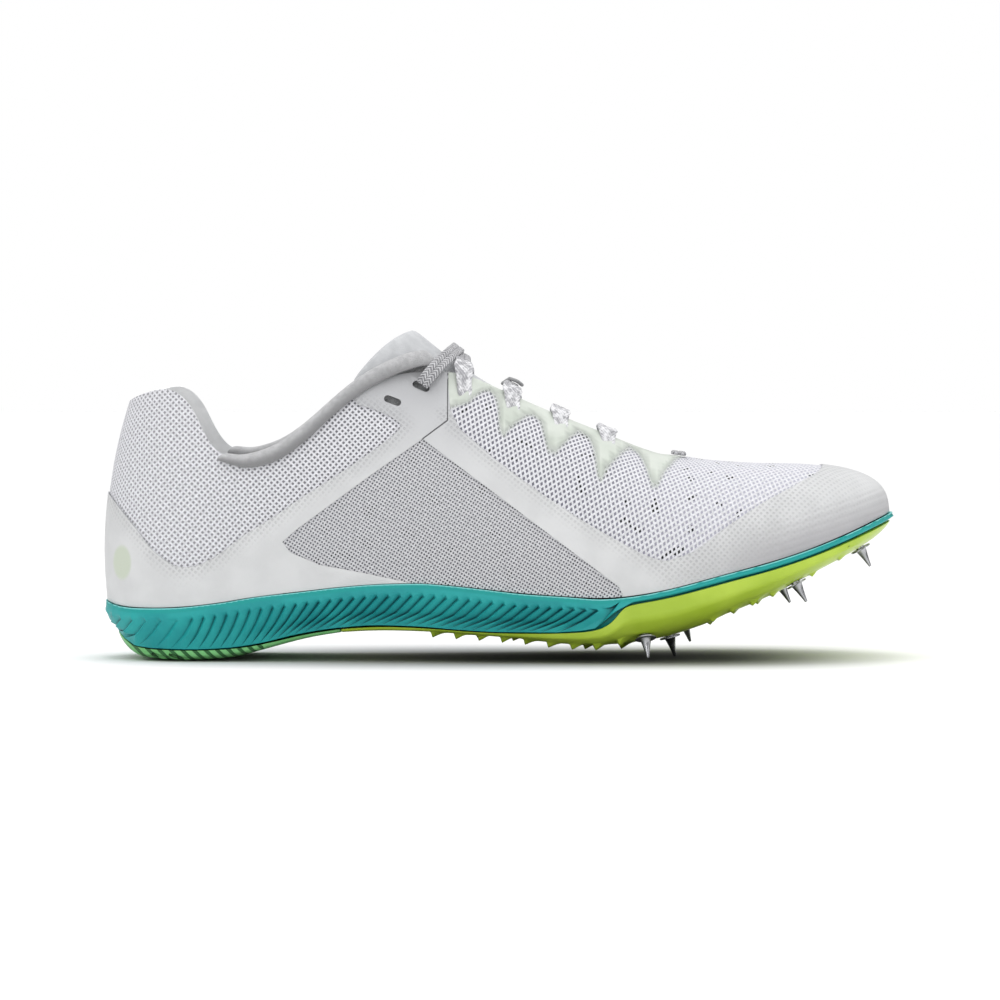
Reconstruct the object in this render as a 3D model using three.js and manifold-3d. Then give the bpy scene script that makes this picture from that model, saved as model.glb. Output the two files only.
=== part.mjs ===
// A right-foot track spike shoe, built round the surface of its last.
// Millimetres, +Z up, +X towards the toe, +Y towards the inner (medial) side.
// The origin is on the ground, at the middle of the flat pad under the heel.
import * as THREE from "three";
import { mergeVertices } from "three/addons/utils/BufferGeometryUtils.js";
import Module from "manifold-3d";

const wasm = await Module();
wasm.setup();

// Driving sizes of the shoe
const length = 288; // heel back to toe tip
const ballWidth = 92; // feather line to feather line across the ball
const heelHeight = 98; // ground to the top of the heel collar
const gap = 0.3; // clearance between pieces that lie on each other
const wall = 1.8; // knitted mesh of the upper
const heelPivot = 0.369 * ballWidth; // sections fan round this point at the heel
const toePivot = length - 0.488 * ballWidth; // and round this one at the toe
const heelPad = 0.104 * length; // middle of the flat pad under the heel

const LATERAL = -1;
const MEDIAL = 1;

// Outline of the feather line, as half widths from the spine; `at` runs from heel back to toe tip.
const outlineRows = [
  { at: 0.0, lateral: 0.35, medial: 0.35, spine: 0.0 },
  { at: 0.059, lateral: 0.347, medial: 0.347, spine: 0.0 },
  { at: 0.118, lateral: 0.338, medial: 0.335, spine: 0.0 },
  { at: 0.208, lateral: 0.342, medial: 0.322, spine: 0.0 },
  { at: 0.312, lateral: 0.345, medial: 0.298, spine: 0.0 },
  { at: 0.417, lateral: 0.372, medial: 0.3, spine: 0.004 },
  { at: 0.521, lateral: 0.425, medial: 0.352, spine: 0.01 },
  { at: 0.625, lateral: 0.476, medial: 0.43, spine: 0.016 },
  { at: 0.712, lateral: 0.5, medial: 0.486, spine: 0.02 },
  { at: 0.781, lateral: 0.48, medial: 0.504, spine: 0.026 },
  { at: 0.844, lateral: 0.43, medial: 0.488, spine: 0.032 },
  { at: 0.896, lateral: 0.405, medial: 0.492, spine: 0.032 },
  { at: 0.948, lateral: 0.425, medial: 0.495, spine: 0.032 },
  { at: 1.0, lateral: 0.472, medial: 0.472, spine: 0.032 },
];

// Side profile by true x: the feather line, and the keel line under the sole. Where the keel dips
// below the ground, the ground cuts a flat pad.
const profileRows = [
  { at: 0.0, feather: 0.226, keel: 0.085 },
  { at: 0.02, feather: 0.207, keel: 0.055 },
  { at: 0.034, feather: 0.2, keel: 0.022 },
  { at: 0.052, feather: 0.198, keel: -0.004 },
  { at: 0.09, feather: 0.2, keel: -0.009 },
  { at: 0.15, feather: 0.217, keel: -0.005 },
  { at: 0.2, feather: 0.241, keel: 0.03 },
  { at: 0.25, feather: 0.258, keel: 0.072 },
  { at: 0.3, feather: 0.275, keel: 0.1 },
  { at: 0.35, feather: 0.287, keel: 0.108 },
  { at: 0.4, feather: 0.291, keel: 0.106 },
  { at: 0.44, feather: 0.283, keel: 0.1 },
  { at: 0.48, feather: 0.271, keel: 0.092 },
  { at: 0.53, feather: 0.255, keel: 0.078 },
  { at: 0.58, feather: 0.246, keel: 0.058 },
  { at: 0.625, feather: 0.238, keel: 0.05 },
  { at: 0.66, feather: 0.246, keel: 0.053 },
  { at: 0.7, feather: 0.267, keel: 0.068 },
  { at: 0.74, feather: 0.296, keel: 0.1 },
  { at: 0.78, feather: 0.328, keel: 0.156 },
  { at: 0.83, feather: 0.364, keel: 0.216 },
  { at: 0.88, feather: 0.41, keel: 0.293 },
  { at: 0.93, feather: 0.466, keel: 0.362 },
  { at: 0.97, feather: 0.515, keel: 0.422 },
  { at: 1.0, feather: 0.548, keel: 0.49 },
];

// Foot of the midsole's side wall, up to where its rounded front end meets the thin forefoot band.
const wedgeEnd = 0.65; // of the length
const footRows = [
  { at: 0.0, foot: 0.125 },
  { at: 0.02, foot: 0.088 },
  { at: 0.035, foot: 0.06 },
  { at: 0.06, foot: 0.05 },
  { at: 0.12, foot: 0.047 },
  { at: 0.16, foot: 0.052 },
  { at: 0.2, foot: 0.068 },
  { at: 0.25, foot: 0.103 },
  { at: 0.3, foot: 0.126 },
  { at: 0.35, foot: 0.136 },
  { at: 0.4, foot: 0.132 },
  { at: 0.45, foot: 0.121 },
  { at: 0.5, foot: 0.114 },
  { at: 0.56, foot: 0.114 },
  { at: 0.59, foot: 0.118 },
  { at: 0.615, foot: 0.128 },
  { at: 0.632, foot: 0.15 },
  { at: 0.643, foot: 0.184 },
  { at: wedgeEnd, foot: 0.22 },
];

// Half sections of the last: crest is the ridge (or, at the ankle, the shaft's top), and the four
// shape columns set the two handles of each section's curve.
const sectionRows = [
  { at: 0.0, crestOut: 0.217, crest: 1.012, crown: 0.76, drop: 0.15, lean: 0.045, rise: 0.33 },
  { at: 0.06, crestOut: 0.25, crest: 1.062, crown: 0.72, drop: 0.16, lean: 0.035, rise: 0.34 },
  { at: 0.118, crestOut: 0.272, crest: 1.056, crown: 0.65, drop: 0.16, lean: 0.028, rise: 0.36 },
  { at: 0.174, crestOut: 0.28, crest: 1.025, crown: 0.6, drop: 0.16, lean: 0.022, rise: 0.38 },
  { at: 0.215, crestOut: 0.265, crest: 1.035, crown: 0.6, drop: 0.16, lean: 0.02, rise: 0.38 },
  { at: 0.26, crestOut: 0.215, crest: 1.16, crown: 0.75, drop: 0.15, lean: 0.02, rise: 0.36 },
  { at: 0.305, crestOut: 0.0, crest: 1.35, crown: 0.86, drop: 0.12, lean: 0.02, rise: 0.38 },
  { at: 0.35, crestOut: 0.0, crest: 1.308, crown: 0.88, drop: 0.05, lean: 0.02, rise: 0.42 },
  { at: 0.4, crestOut: 0.0, crest: 1.235, crown: 0.88, drop: 0.02, lean: 0.02, rise: 0.44 },
  { at: 0.45, crestOut: 0.0, crest: 1.125, crown: 0.84, drop: 0.01, lean: 0.02, rise: 0.45 },
  { at: 0.52, crestOut: 0.0, crest: 1.0, crown: 0.78, drop: 0.0, lean: 0.02, rise: 0.46 },
  { at: 0.57, crestOut: 0.0, crest: 0.925, crown: 0.74, drop: 0.0, lean: 0.022, rise: 0.47 },
  { at: 0.64, crestOut: 0.0, crest: 0.836, crown: 0.7, drop: 0.0, lean: 0.024, rise: 0.48 },
  { at: 0.7, crestOut: 0.0, crest: 0.762, crown: 0.67, drop: 0.0, lean: 0.026, rise: 0.5 },
  { at: 0.76, crestOut: 0.0, crest: 0.74, crown: 0.65, drop: 0.0, lean: 0.026, rise: 0.53 },
  { at: 0.844, crestOut: 0.0, crest: 0.722, crown: 0.66, drop: 0.0, lean: 0.024, rise: 0.6 },
  { at: 0.92, crestOut: 0.0, crest: 0.722, crown: 0.7, drop: 0.0, lean: 0.02, rise: 0.66 },
  { at: 1.0, crestOut: 0.0, crest: 0.722, crown: 0.74, drop: 0.0, lean: 0.015, rise: 0.72 },
];

// Top line of the ankle opening, from heel back to the eyestay corner.
const collarRows = [
  { at: 0.0, top: 0.938 },
  { at: 0.04, top: 0.96 },
  { at: 0.075, top: 0.99 },
  { at: 0.098, top: 1.0 },
  { at: 0.112, top: 0.972 },
  { at: 0.125, top: 0.9 },
  { at: 0.138, top: 0.81 },
  { at: 0.152, top: 0.765 },
  { at: 0.172, top: 0.742 },
  { at: 0.195, top: 0.742 },
  { at: 0.22, top: 0.765 },
  { at: 0.25, top: 0.825 },
  { at: 0.285, top: 0.925 },
  { at: 0.32, top: 1.013 },
  { at: 0.36, top: 1.085 },
  { at: 0.405, top: 1.128 },
];
const medialRise = 0.02; // the inner side of the collar stands a little higher

// Half width of the throat, from the eyestay corner to its rounded toe end.
const corner = 0.405 * length;
const throatToe = 0.745 * length;
const throatEndLength = 0.05 * length;
const throatRows = [
  { at: 0.405, half: 0.19 },
  { at: 0.47, half: 0.172 },
  { at: 0.56, half: 0.143 },
  { at: 0.65, half: 0.125 },
  { at: 0.745, half: 0.115 },
];

const clamp = THREE.MathUtils.clamp;
const lerp = THREE.MathUtils.lerp;

// A smooth curve through a table's rows that never overshoots them (a monotone cubic).
function through(rows, column, size) {
  const xs = rows.map((row) => row.at * length);
  const ys = rows.map((row) => row[column] * size);
  const steps = xs.slice(1).map((x, i) => (ys[i + 1] - ys[i]) / (x - xs[i]));
  const slopes = xs.map((_, i) => {
    if (i === 0) return steps[0];
    if (i === steps.length) return steps[i - 1];
    const [before, after] = [steps[i - 1], steps[i]];
    return before * after <= 0 ? 0 : (2 * before * after) / (before + after);
  });
  return (x) => {
    const at = clamp(x, xs[0], xs[xs.length - 1]);
    let i = 0;
    while (i < xs.length - 2 && at > xs[i + 1]) i += 1;
    const width = xs[i + 1] - xs[i];
    const t = (at - xs[i]) / width;
    const u = 1 - t;
    return (
      ys[i] * u * u * (1 + 2 * t) +
      ys[i + 1] * t * t * (3 - 2 * t) +
      slopes[i] * width * t * u * u -
      slopes[i + 1] * width * t * t * u
    );
  };
}

const halfWidth = {
  [LATERAL]: through(outlineRows, "lateral", ballWidth),
  [MEDIAL]: through(outlineRows, "medial", ballWidth),
};
const spineOffset = through(outlineRows, "spine", ballWidth);
const featherLine = through(profileRows, "feather", heelHeight);
const keelLine = through(profileRows, "keel", heelHeight);
const crestOut = through(sectionRows, "crestOut", ballWidth);
const crestHeight = through(sectionRows, "crest", heelHeight);
const crown = through(sectionRows, "crown", 1);
const drop = through(sectionRows, "drop", 1);
const lean = through(sectionRows, "lean", ballWidth);
const rise = through(sectionRows, "rise", 1);
const collarTop = through(collarRows, "top", heelHeight);
const throatHalf = through(throatRows, "half", ballWidth);

// Where a section starts and which way it faces: straight sideways in the middle, fanned at both ends.
function spine(at) {
  const x = clamp(at, heelPivot, toePivot);
  let turn = 0;
  if (at < heelPivot) turn = (-Math.PI / 2) * (1 - at / heelPivot);
  if (at > toePivot) turn = ((Math.PI / 2) * (at - toePivot)) / (length - toePivot);
  return { x, y: spineOffset(x), turn };
}

// The point that lies `out` from the spine at height z, on one side of the shoe.
function place(side, at, out, z) {
  const { x, y, turn } = spine(at);
  return new THREE.Vector3(
    x + out * Math.sin(turn),
    y + side * out * Math.cos(turn),
    z,
  );
}

// Half section of the last, from the feather line (v = 0) to the crest (v = 1), as {out, z}.
function section(side, at, v) {
  const out = halfWidth[side](at);
  const foot = featherLine(place(side, at, out, 0).x);
  const top = crestHeight(at);
  const inner = crestOut(at);
  const height = top - foot;
  const b0 = (1 - v) ** 3;
  const b1 = 3 * v * (1 - v) ** 2;
  const b2 = 3 * v * v * (1 - v);
  const b3 = v ** 3;
  return {
    out:
      b0 * out +
      b1 * (out + lean(at)) +
      b2 * lerp(inner, out, crown(at)) +
      b3 * inner,
    z:
      b0 * foot +
      b1 * (foot + rise(at) * height) +
      b2 * (top - drop(at) * height) +
      b3 * top,
  };
}

// A point of the last's surface. Running past heel or toe carries on round to the other side.
function lastPoint(side, at, v) {
  if (at < 0) return lastPoint(-side, -at, v);
  if (at > length) return lastPoint(-side, 2 * length - at, v);
  const { out, z } = section(side, at, v);
  return place(side, at, out, z);
}

// The outward normal there. On the ridge both sides share one, and so does the whole toe fan.
const STEP = 0.25;
function lastNormal(side, at, v) {
  if (v > 0.9995 && crestOut(at) < 0.001) {
    const x = Math.min(at, toePivot);
    const slope = (crestHeight(x + STEP) - crestHeight(x - STEP)) / (2 * STEP);
    return new THREE.Vector3(-slope, 0, 1).normalize();
  }
  const dv = 0.004;
  const v0 = Math.max(v - dv, 0);
  const v1 = Math.min(v + dv, 1);
  const along = lastPoint(side, at + STEP, v).sub(lastPoint(side, at - STEP, v));
  const up = lastPoint(side, at, v1).sub(lastPoint(side, at, v0));
  const normal = along.cross(up).multiplyScalar(-side);
  if (at === 0 || at === length) normal.y = 0;
  return normal.normalize();
}

// A point that stands off the last by `off`: outwards if positive.
function offPoint(side, at, v, off) {
  return lastPoint(side, at, v).addScaledVector(lastNormal(side, at, v), off);
}

// Bisection on a rising function.
function solve(rising, target, low, high) {
  let [a, b] = [low, high];
  for (let i = 0; i < 40; i += 1) {
    const middle = (a + b) / 2;
    if (rising(middle) < target) a = middle;
    else b = middle;
  }
  return (a + b) / 2;
}

// Share of the section at which the upper ends: the collar by its height, the throat by its width.
function collarCut(side, at) {
  const lift = side === MEDIAL ? medialRise * heelHeight : 0;
  const fade = clamp((corner - at) / (0.12 * length), 0, 1);
  const top = collarTop(at) + lift * fade * clamp(at / heelPivot, 0, 1);
  return solve((v) => section(side, at, v).z, top, 0, 1);
}

const cornerHalf = {};
for (const side of [LATERAL, MEDIAL])
  cornerHalf[side] = section(side, corner, collarCut(side, corner)).out;

function topCut(side, at) {
  if (at <= corner) return collarCut(side, at);
  if (at >= throatToe - 0.001) return 1;
  const share = (throatToe - at) / throatEndLength;
  const round = share < 1 ? Math.sqrt(1 - (1 - share) ** 2) : 1;
  const near = clamp((at - corner) / (0.06 * length), 0, 1);
  const half = lerp(cornerHalf[side], throatHalf(at), near) * round;
  return solve((v) => -section(side, at, v).out, -half, 0.4, 1);
}

// Solids

// Makes a closed solid from triangles of points, whichever way round they run.
function solidOf(triangles) {
  const flat = new Float32Array(triangles.length * 9);
  triangles.forEach((triangle, i) =>
    triangle.forEach((p, j) => flat.set([p.x, p.y, p.z], i * 9 + j * 3)),
  );
  return solidFromPositions(flat);
}

function solidFromPositions(flat) {
  const raw = new THREE.BufferGeometry();
  raw.setAttribute("position", new THREE.BufferAttribute(flat, 3));
  const merged = mergeVertices(raw, 1e-3);
  const index = [];
  for (let i = 0; i < merged.index.count; i += 3) {
    const [a, b, c] = [0, 1, 2].map((k) => merged.index.getX(i + k));
    if (a !== b && b !== c && a !== c) index.push(a, b, c);
  }
  const build = (order) =>
    new wasm.Manifold(
      new wasm.Mesh({
        numProp: 3,
        vertProperties: merged.attributes.position.array,
        triVerts: new Uint32Array(order),
      }),
    );
  const solid = build(index);
  if (solid.volume() > 0) return solid;
  for (let i = 0; i < index.length; i += 3)
    [index[i + 1], index[i + 2]] = [index[i + 2], index[i + 1]];
  return build(index);
}

// A three.js geometry, moved by a matrix, as a solid.
function solidFromGeometry(geometry, matrix = new THREE.Matrix4()) {
  const plain = geometry.index ? geometry.toNonIndexed() : geometry.clone();
  plain.applyMatrix4(matrix);
  return solidFromPositions(plain.attributes.position.array);
}

function geometryOf(solid) {
  const { vertProperties, triVerts, numProp, numVert } = solid.getMesh();
  const positions = new Float32Array(numVert * 3);
  for (let i = 0; i < numVert; i += 1)
    positions.set(vertProperties.subarray(i * numProp, i * numProp + 3), i * 3);
  const geometry = new THREE.BufferGeometry();
  geometry.setAttribute("position", new THREE.BufferAttribute(positions, 3));
  geometry.setIndex(new THREE.BufferAttribute(triVerts, 1));
  geometry.computeVertexNormals();
  return geometry;
}

// Skins neighbouring columns of points. `loop` joins each column's last point to its first,
// `closed` joins the last column to the first, `skip` leaves out a strip, and from strip `turned`
// on the diagonals run the other way, so that an inner skin has the facets of its outer one.
function skin(columns, options = {}) {
  const { closed = false, loop = false, skip = () => false, turned = Infinity } = options;
  const triangles = [];
  const pairs = closed ? columns.length : columns.length - 1;
  for (let i = 0; i < pairs; i += 1) {
    const a = columns[i];
    const b = columns[(i + 1) % columns.length];
    const strips = loop ? a.length : a.length - 1;
    for (let k = 0; k < strips; k += 1) {
      if (skip(i, (i + 1) % columns.length, k)) continue;
      const m = (k + 1) % a.length;
      if (k < turned) triangles.push([a[k], b[k], b[m]], [a[k], b[m], a[m]]);
      else triangles.push([a[k], b[k], a[m]], [b[k], b[m], a[m]]);
    }
  }
  return triangles;
}

// Flat end of a skin, in the plane of one x. Its triangles run the same way round as its points.
function cap(points) {
  const flat = points.map((p) => new THREE.Vector2(p.y, p.z));
  const turn = Math.sign(THREE.ShapeUtils.area(flat));
  return THREE.ShapeUtils.triangulateShape(flat, []).map((face) => {
    const same = Math.sign(THREE.ShapeUtils.area(face.map((i) => flat[i]))) === turn;
    return (same ? face : [...face].reverse()).map((i) => points[i]);
  });
}

// Positions along the shoe, in runs of even steps: [from, to, count], as shares of the length.
function stations(...runs) {
  const list = [];
  for (const [from, to, count] of runs)
    for (let i = 0; i < count; i += 1) list.push(lerp(from, to, i / count) * length);
  list.push(runs[runs.length - 1][1] * length);
  return list;
}

// Both sides in one round trip: heel back, outer side, toe, inner side. Ends are not doubled.
function roundTrip(list) {
  const there = list.map((at) => ({ side: LATERAL, at }));
  const back = [...list].reverse().map((at) => ({ side: MEDIAL, at }));
  const first = list[0] === 0 ? back.slice(0, -1) : back;
  return [...there, ...first.slice(list[list.length - 1] === length ? 1 : 0)];
}

const heelShare = heelPivot / length;
const toeShare = toePivot / length;
const cornerShare = corner / length;
const throatShare = throatToe / length;
const upperStations = stations(
  [0, heelShare, 6],
  [heelShare, 0.19, 5],
  [0.19, cornerShare, 6],
  [cornerShare, 0.7, 8],
  [0.7, throatShare, 3],
  [throatShare, toeShare, 2],
  [toeShare, 1, 6],
);

// The upper: one hollow wall round the last, open at collar, throat and underneath
const upperRows = 6;
const liningRows = [1, 0.84, 0.66, 0.36, 0]; // the inner skin needs fewer

// A wall between two offsets of the last.
function layer(low, high, innerShares) {
  const trip = roundTrip(upperStations);
  const columns = trip.map(({ side, at }) => {
    const top = topCut(side, at);
    const outer = [];
    for (let k = 0; k <= upperRows; k += 1)
      outer.push(offPoint(side, at, (top * k) / upperRows, high));
    const inner = innerShares.map((share) => offPoint(side, at, top * share, low));
    return [...outer, ...inner];
  });
  const onRidge = trip.map(({ at }) => at >= throatToe - 0.001);
  return solidOf(
    skin(columns, {
      closed: true,
      loop: true,
      turned: upperRows + 1,
      skip: (i, j, k) => k === upperRows && onRidge[i] && onRidge[j],
    }),
  );
}

// A side-view outline, as shares of length and heel height, cut right through one side or both
function prism(rows, sides = [LATERAL, MEDIAL]) {
  const points = rows.map((row) => new THREE.Vector2(row.at * length, row.up * heelHeight));
  const low = sides.includes(LATERAL) ? -ballWidth : 0;
  const high = sides.includes(MEDIAL) ? ballWidth : 0;
  const block = new THREE.ExtrudeGeometry(new THREE.Shape(points), {
    depth: high - low,
    bevelEnabled: false,
    steps: 1,
  });
  const upright = new THREE.Matrix4().makeRotationX(Math.PI / 2);
  return solidFromGeometry(block, new THREE.Matrix4().makeTranslation(0, high, 0).multiply(upright));
}

// Slots for the lace, through the eyestay: middle, tilt and half sizes in the side view
const slots = [
  { at: 0.4032, up: 1.005, tilt: -0.41 },
  { at: 0.3683, up: 0.953, tilt: -0.35 },
];
const slotHalfLength = 3.2;
const slotHalfWidth = 1.3;

function slotRows({ at, up, tilt }) {
  const rows = [];
  for (let i = 0; i < 8; i += 1) {
    const turn = ((i + 0.5) * Math.PI) / 4;
    const end = Math.sign(Math.cos(turn)) * (slotHalfLength - slotHalfWidth);
    const x = end + slotHalfWidth * Math.cos(turn);
    const z = slotHalfWidth * Math.sin(turn);
    rows.push({
      at: at + (x * Math.cos(tilt) - z * Math.sin(tilt)) / length,
      up: up + (x * Math.sin(tilt) + z * Math.cos(tilt)) / heelHeight,
    });
  }
  return rows;
}

// Windows of bare mesh in the welded film
const quarterRows = [
  { at: -0.03, up: 0.65 },
  { at: 0.03, up: 0.55 },
  { at: 0.055, up: 0.465 },
  { at: 0.1, up: 0.352 },
  { at: 0.127, up: 0.355 },
  { at: 0.154, up: 0.394 },
  { at: 0.186, up: 0.468 },
  { at: 0.215, up: 0.516 },
  { at: 0.311, up: 0.702 },
  { at: 0.364, up: 0.8135 },
  { at: 0.382, up: 0.862 },
  { at: 0.364, up: 0.899 },
  { at: 0.3236, up: 0.936 },
  { at: 0.312, up: 1.3 },
  { at: -0.03, up: 1.3 },
];
const windowRows = [
  { at: 0.4058, up: 0.8135 },
  { at: 0.3426, up: 0.6835 },
  { at: 0.249, up: 0.483 },
  { at: 0.2326, up: 0.438 },
  { at: 0.242, up: 0.401 },
  { at: 0.2777, up: 0.3566 },
  { at: 0.3325, up: 0.327 },
  { at: 0.38, up: 0.292 },
  { at: 0.44, up: 0.265 },
  { at: 0.64, up: 0.22 },
  { at: 0.651, up: 0.262 },
  { at: 0.6283, up: 0.323 },
];
const vampRows = [
  { at: 0.436, up: 0.89 },
  { at: 0.498, up: 0.735 },
  { at: 0.6, up: 0.53 },
  { at: 0.67, up: 0.407 },
  { at: 0.69, up: 0.378 },
  { at: 0.72, up: 0.38 },
  { at: 0.74, up: 0.405 },
  { at: 0.781, up: 0.495 },
  { at: 0.824, up: 0.575 },
  { at: 0.867, up: 0.643 },
  { at: 0.925, up: 0.76 },
  { at: 0.925, up: 1.5 },
  { at: 0.436, up: 1.5 },
];

const filmThickness = 0.5;
const upperSolid = () =>
  slots.reduce(
    (solid, slot) => solid.subtract(prism(slotRows(slot))),
    layer(-wall, 0, liningRows),
  );
const everyRow = Array.from({ length: upperRows + 1 }, (_, k) => 1 - k / upperRows);
const filmLayer = layer(gap, gap + filmThickness, everyRow);
const filmSolid = () =>
  [...slots.map(slotRows), quarterRows, windowRows, vampRows].reduce(
    (solid, rows) => solid.subtract(prism(rows)),
    filmLayer,
  );

// Lace loops: a clear film along the throat with a fin for each loop
const finRows = [
  { from: 0.4385, shoulderUp: 1.1, tip: 0.447, tipUp: 0.905, peak: 0.4855, peakUp: 0.988 },
  { from: 0.4985, shoulderUp: 0.976, tip: 0.506, tipUp: 0.815, peak: 0.54, peakUp: 0.9 },
  { from: 0.5575, shoulderUp: 0.888, tip: 0.566, tipUp: 0.74, peak: 0.599, peakUp: 0.836 },
  { from: 0.6195, shoulderUp: 0.824, tip: 0.627, tipUp: 0.645, peak: 0.6625, peakUp: 0.777 },
  { from: 0.6845, shoulderUp: 0.765, tip: 0.693, tipUp: 0.61, peak: 0.723, peakUp: 0.735 },
];
const finOutline = [
  ...finRows.flatMap((fin) => [
    { at: fin.from - 0.003, up: fin.shoulderUp },
    { at: fin.from + 0.002, up: fin.tipUp + 0.012 },
    { at: fin.tip, up: fin.tipUp },
    { at: lerp(fin.tip, fin.peak, 0.4), up: lerp(fin.tipUp, fin.peakUp, 0.62) },
    { at: fin.peak, up: fin.peakUp },
  ]),
  { at: 0.736, up: 1.3 },
  { at: 0.4355, up: 1.5 },
];

// Collar roll: padded lining turned over the edge of the ankle opening
const rollRows = [
  { at: 0.165, flap: 2.4, puff: 0.9 },
  { at: 0.2, flap: 4.4, puff: 1.3 },
  { at: 0.26, flap: 5.4, puff: 1.5 },
  { at: 0.4, flap: 5.2, puff: 1.5 },
];
const rollFlap = through(rollRows, "flap", 1);
const rollPuff = through(rollRows, "puff", 1);
const rollInside = 7; // how far the lining reaches down inside
const rollSlack = 0.8; // more room there, where the facets differ
const rollFrom = 0.155 * length;

function rollSolid(side) {
  const clear = gap + filmThickness + gap;
  const inside = -wall - gap - rollSlack;
  const along = upperStations.filter((at) => at > rollFrom && at <= corner);
  const columns = along.map((at) => {
    const top = topCut(side, at);
    const drape = lastPoint(side, at, top).z;
    const down = (reach) => solve((v) => section(side, at, v).z, drape - reach, 0, top);
    const puff = rollPuff(at);
    const flap = down(rollFlap(at));
    const edge = down(0.4);
    const ridge = (off) => offPoint(side, at, top, off);
    const lift = (point, z) => point.add(new THREE.Vector3(0, 0, z));
    return [
      offPoint(side, at, flap, clear),
      lift(offPoint(side, at, edge, clear), gap + 0.5),
      lift(offPoint(side, at, edge, inside), gap + 0.5),
      offPoint(side, at, down(rollInside), inside),
      offPoint(side, at, down(rollInside), inside - 0.6),
      lift(ridge(inside - puff), gap),
      lift(ridge(-wall / 2), gap + 0.7 + puff),
      lift(ridge(clear + puff * 0.9), gap),
      offPoint(side, at, down(rollFlap(at) * 0.6), clear + puff),
      offPoint(side, at, flap, clear + 0.4),
    ];
  });
  const ends = [columns[0], columns[columns.length - 1]];
  const fan = (ring) => {
    const order = [[0, 1, 8], [0, 8, 9], [1, 7, 8], [1, 6, 7], [1, 2, 6], [2, 5, 6], [2, 3, 5], [3, 4, 5]];
    return order.map((face) => face.map((i) => ring[i]));
  };
  return solidOf([
    ...skin(columns, { loop: true }),
    ...fan(ends[0]),
    ...fan(ends[1]).map(([a, b, c]) => [a, c, b]),
  ]);
}

// Position on the throat: q runs from -1 at the outer edge to 1 at the inner edge
function throatPoint(q, at, off) {
  const side = q < 0 ? LATERAL : MEDIAL;
  const edge = Math.min(topCut(side, at), 0.9999);
  return offPoint(side, at, 1 - (1 - edge) * Math.abs(q), off);
}

// Flat ribbon along a path of {q, at, off}
function ribbon(path, width, thickness) {
  const centre = path.map(({ q, at, off }) => throatPoint(q, at, off));
  const above = path.map(({ q, at, off }) => throatPoint(q, at, off + thickness));
  const columns = centre.map((point, i) => {
    const before = centre[Math.max(i - 1, 0)];
    const after = centre[Math.min(i + 1, centre.length - 1)];
    const normal = above[i].clone().sub(point).normalize();
    const across = after.clone().sub(before).cross(normal).normalize().multiplyScalar(width / 2);
    return [
      point.clone().add(across),
      point.clone().sub(across),
      above[i].clone().sub(across),
      above[i].clone().add(across),
    ];
  });
  const last = columns[columns.length - 1];
  const [first] = columns;
  return solidOf([
    ...skin(columns, { loop: true }),
    [first[0], first[1], first[2]],
    [first[0], first[2], first[3]],
    [last[0], last[2], last[1]],
    [last[0], last[3], last[2]],
  ]);
}

const laceWidth = 5;
const laceThickness = 1.1;
const laceOver = 1.3; // stands off the last where it crosses
const runOver = 1.4; // and where it runs from crossing to crossing
const topOver = 1.55; // and where it goes up to the top eyelets
const laceBars = [0.4585, 0.519, 0.579, 0.638, 0.728];
const laceStep = (count) => Array.from({ length: count + 1 }, (_, i) => (2 * i) / count - 1);
const eyeletAt = 0.404;
const eyeletAcross = 1.56;

function laceSolid() {
  const bars = laceBars.map((share) =>
    ribbon(
      laceStep(4).map((q) => ({ q: q * 0.97, at: share * length, off: laceOver })),
      laceWidth,
      laceThickness,
    ),
  );
  const runs = [LATERAL, MEDIAL].map((side) =>
    ribbon(
      laceBars.map((share) => ({ q: side * 0.8, at: share * length, off: runOver })),
      laceWidth * 0.6,
      laceThickness * 0.8,
    ),
  );
  const top = ribbon(
    laceStep(8).map((q) => ({
      q: q * eyeletAcross,
      at: lerp(0.445, eyeletAt, q * q) * length,
      off: topOver,
    })),
    laceWidth,
    laceThickness,
  );
  return [...bars, ...runs, top].reduce((all, strand) => all.add(strand));
}

// Loops: a tab from the clear film turned over each bar of the lace
const loopWidth = 6.4;
const loopFoot = 0.4; // its foot on the film
const loopShoulder = 1.9; // where it leaves the film for the lace
function loopSolids(side) {
  return laceBars.slice(0, 4).map((share) =>
    ribbon(
      [
        { q: side * 1.62, off: gap },
        { q: side * 1.36, off: loopFoot },
        { q: side * 1.2, off: loopShoulder },
        { q: side * 1.0, off: laceOver + laceThickness + gap },
        { q: side * 0.72, off: laceOver + laceThickness + gap },
        { q: side * 0.52, off: laceOver + laceThickness },
      ].map((step) => ({ ...step, at: share * length })),
      loopWidth,
      filmThickness,
    ),
  );
}

const loopFilm = (side) =>
  loopSolids(side).reduce((all, loop) => all.add(loop), filmLayer.intersect(prism(finOutline, [side])));

// Keeper: a small strap on the tongue that the second bar of the lace runs under
const keeperHalf = 5.6;
const keeperWidth = 6;
const keeperThickness = 0.6;
const keeperRise = 2.2; // its ends stand up from the tongue before it bends over
const keeperArch = 1; // clearance above the lace in the middle
function keeperSolid() {
  const low = gap - tongueDepth;
  const path = [
    [-1, low],
    [-0.85, low + keeperRise],
    [-0.6, laceOver + laceThickness + gap],
    [0, laceOver + laceThickness + keeperArch],
    [0.6, laceOver + laceThickness + gap],
    [0.85, low + keeperRise],
    [1, low],
  ].map(([t, off]) => ({ q: 0.0001, at: laceBars[1] * length + t * keeperHalf, off }));
  return ribbon(path, keeperWidth, keeperThickness);
}

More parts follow.
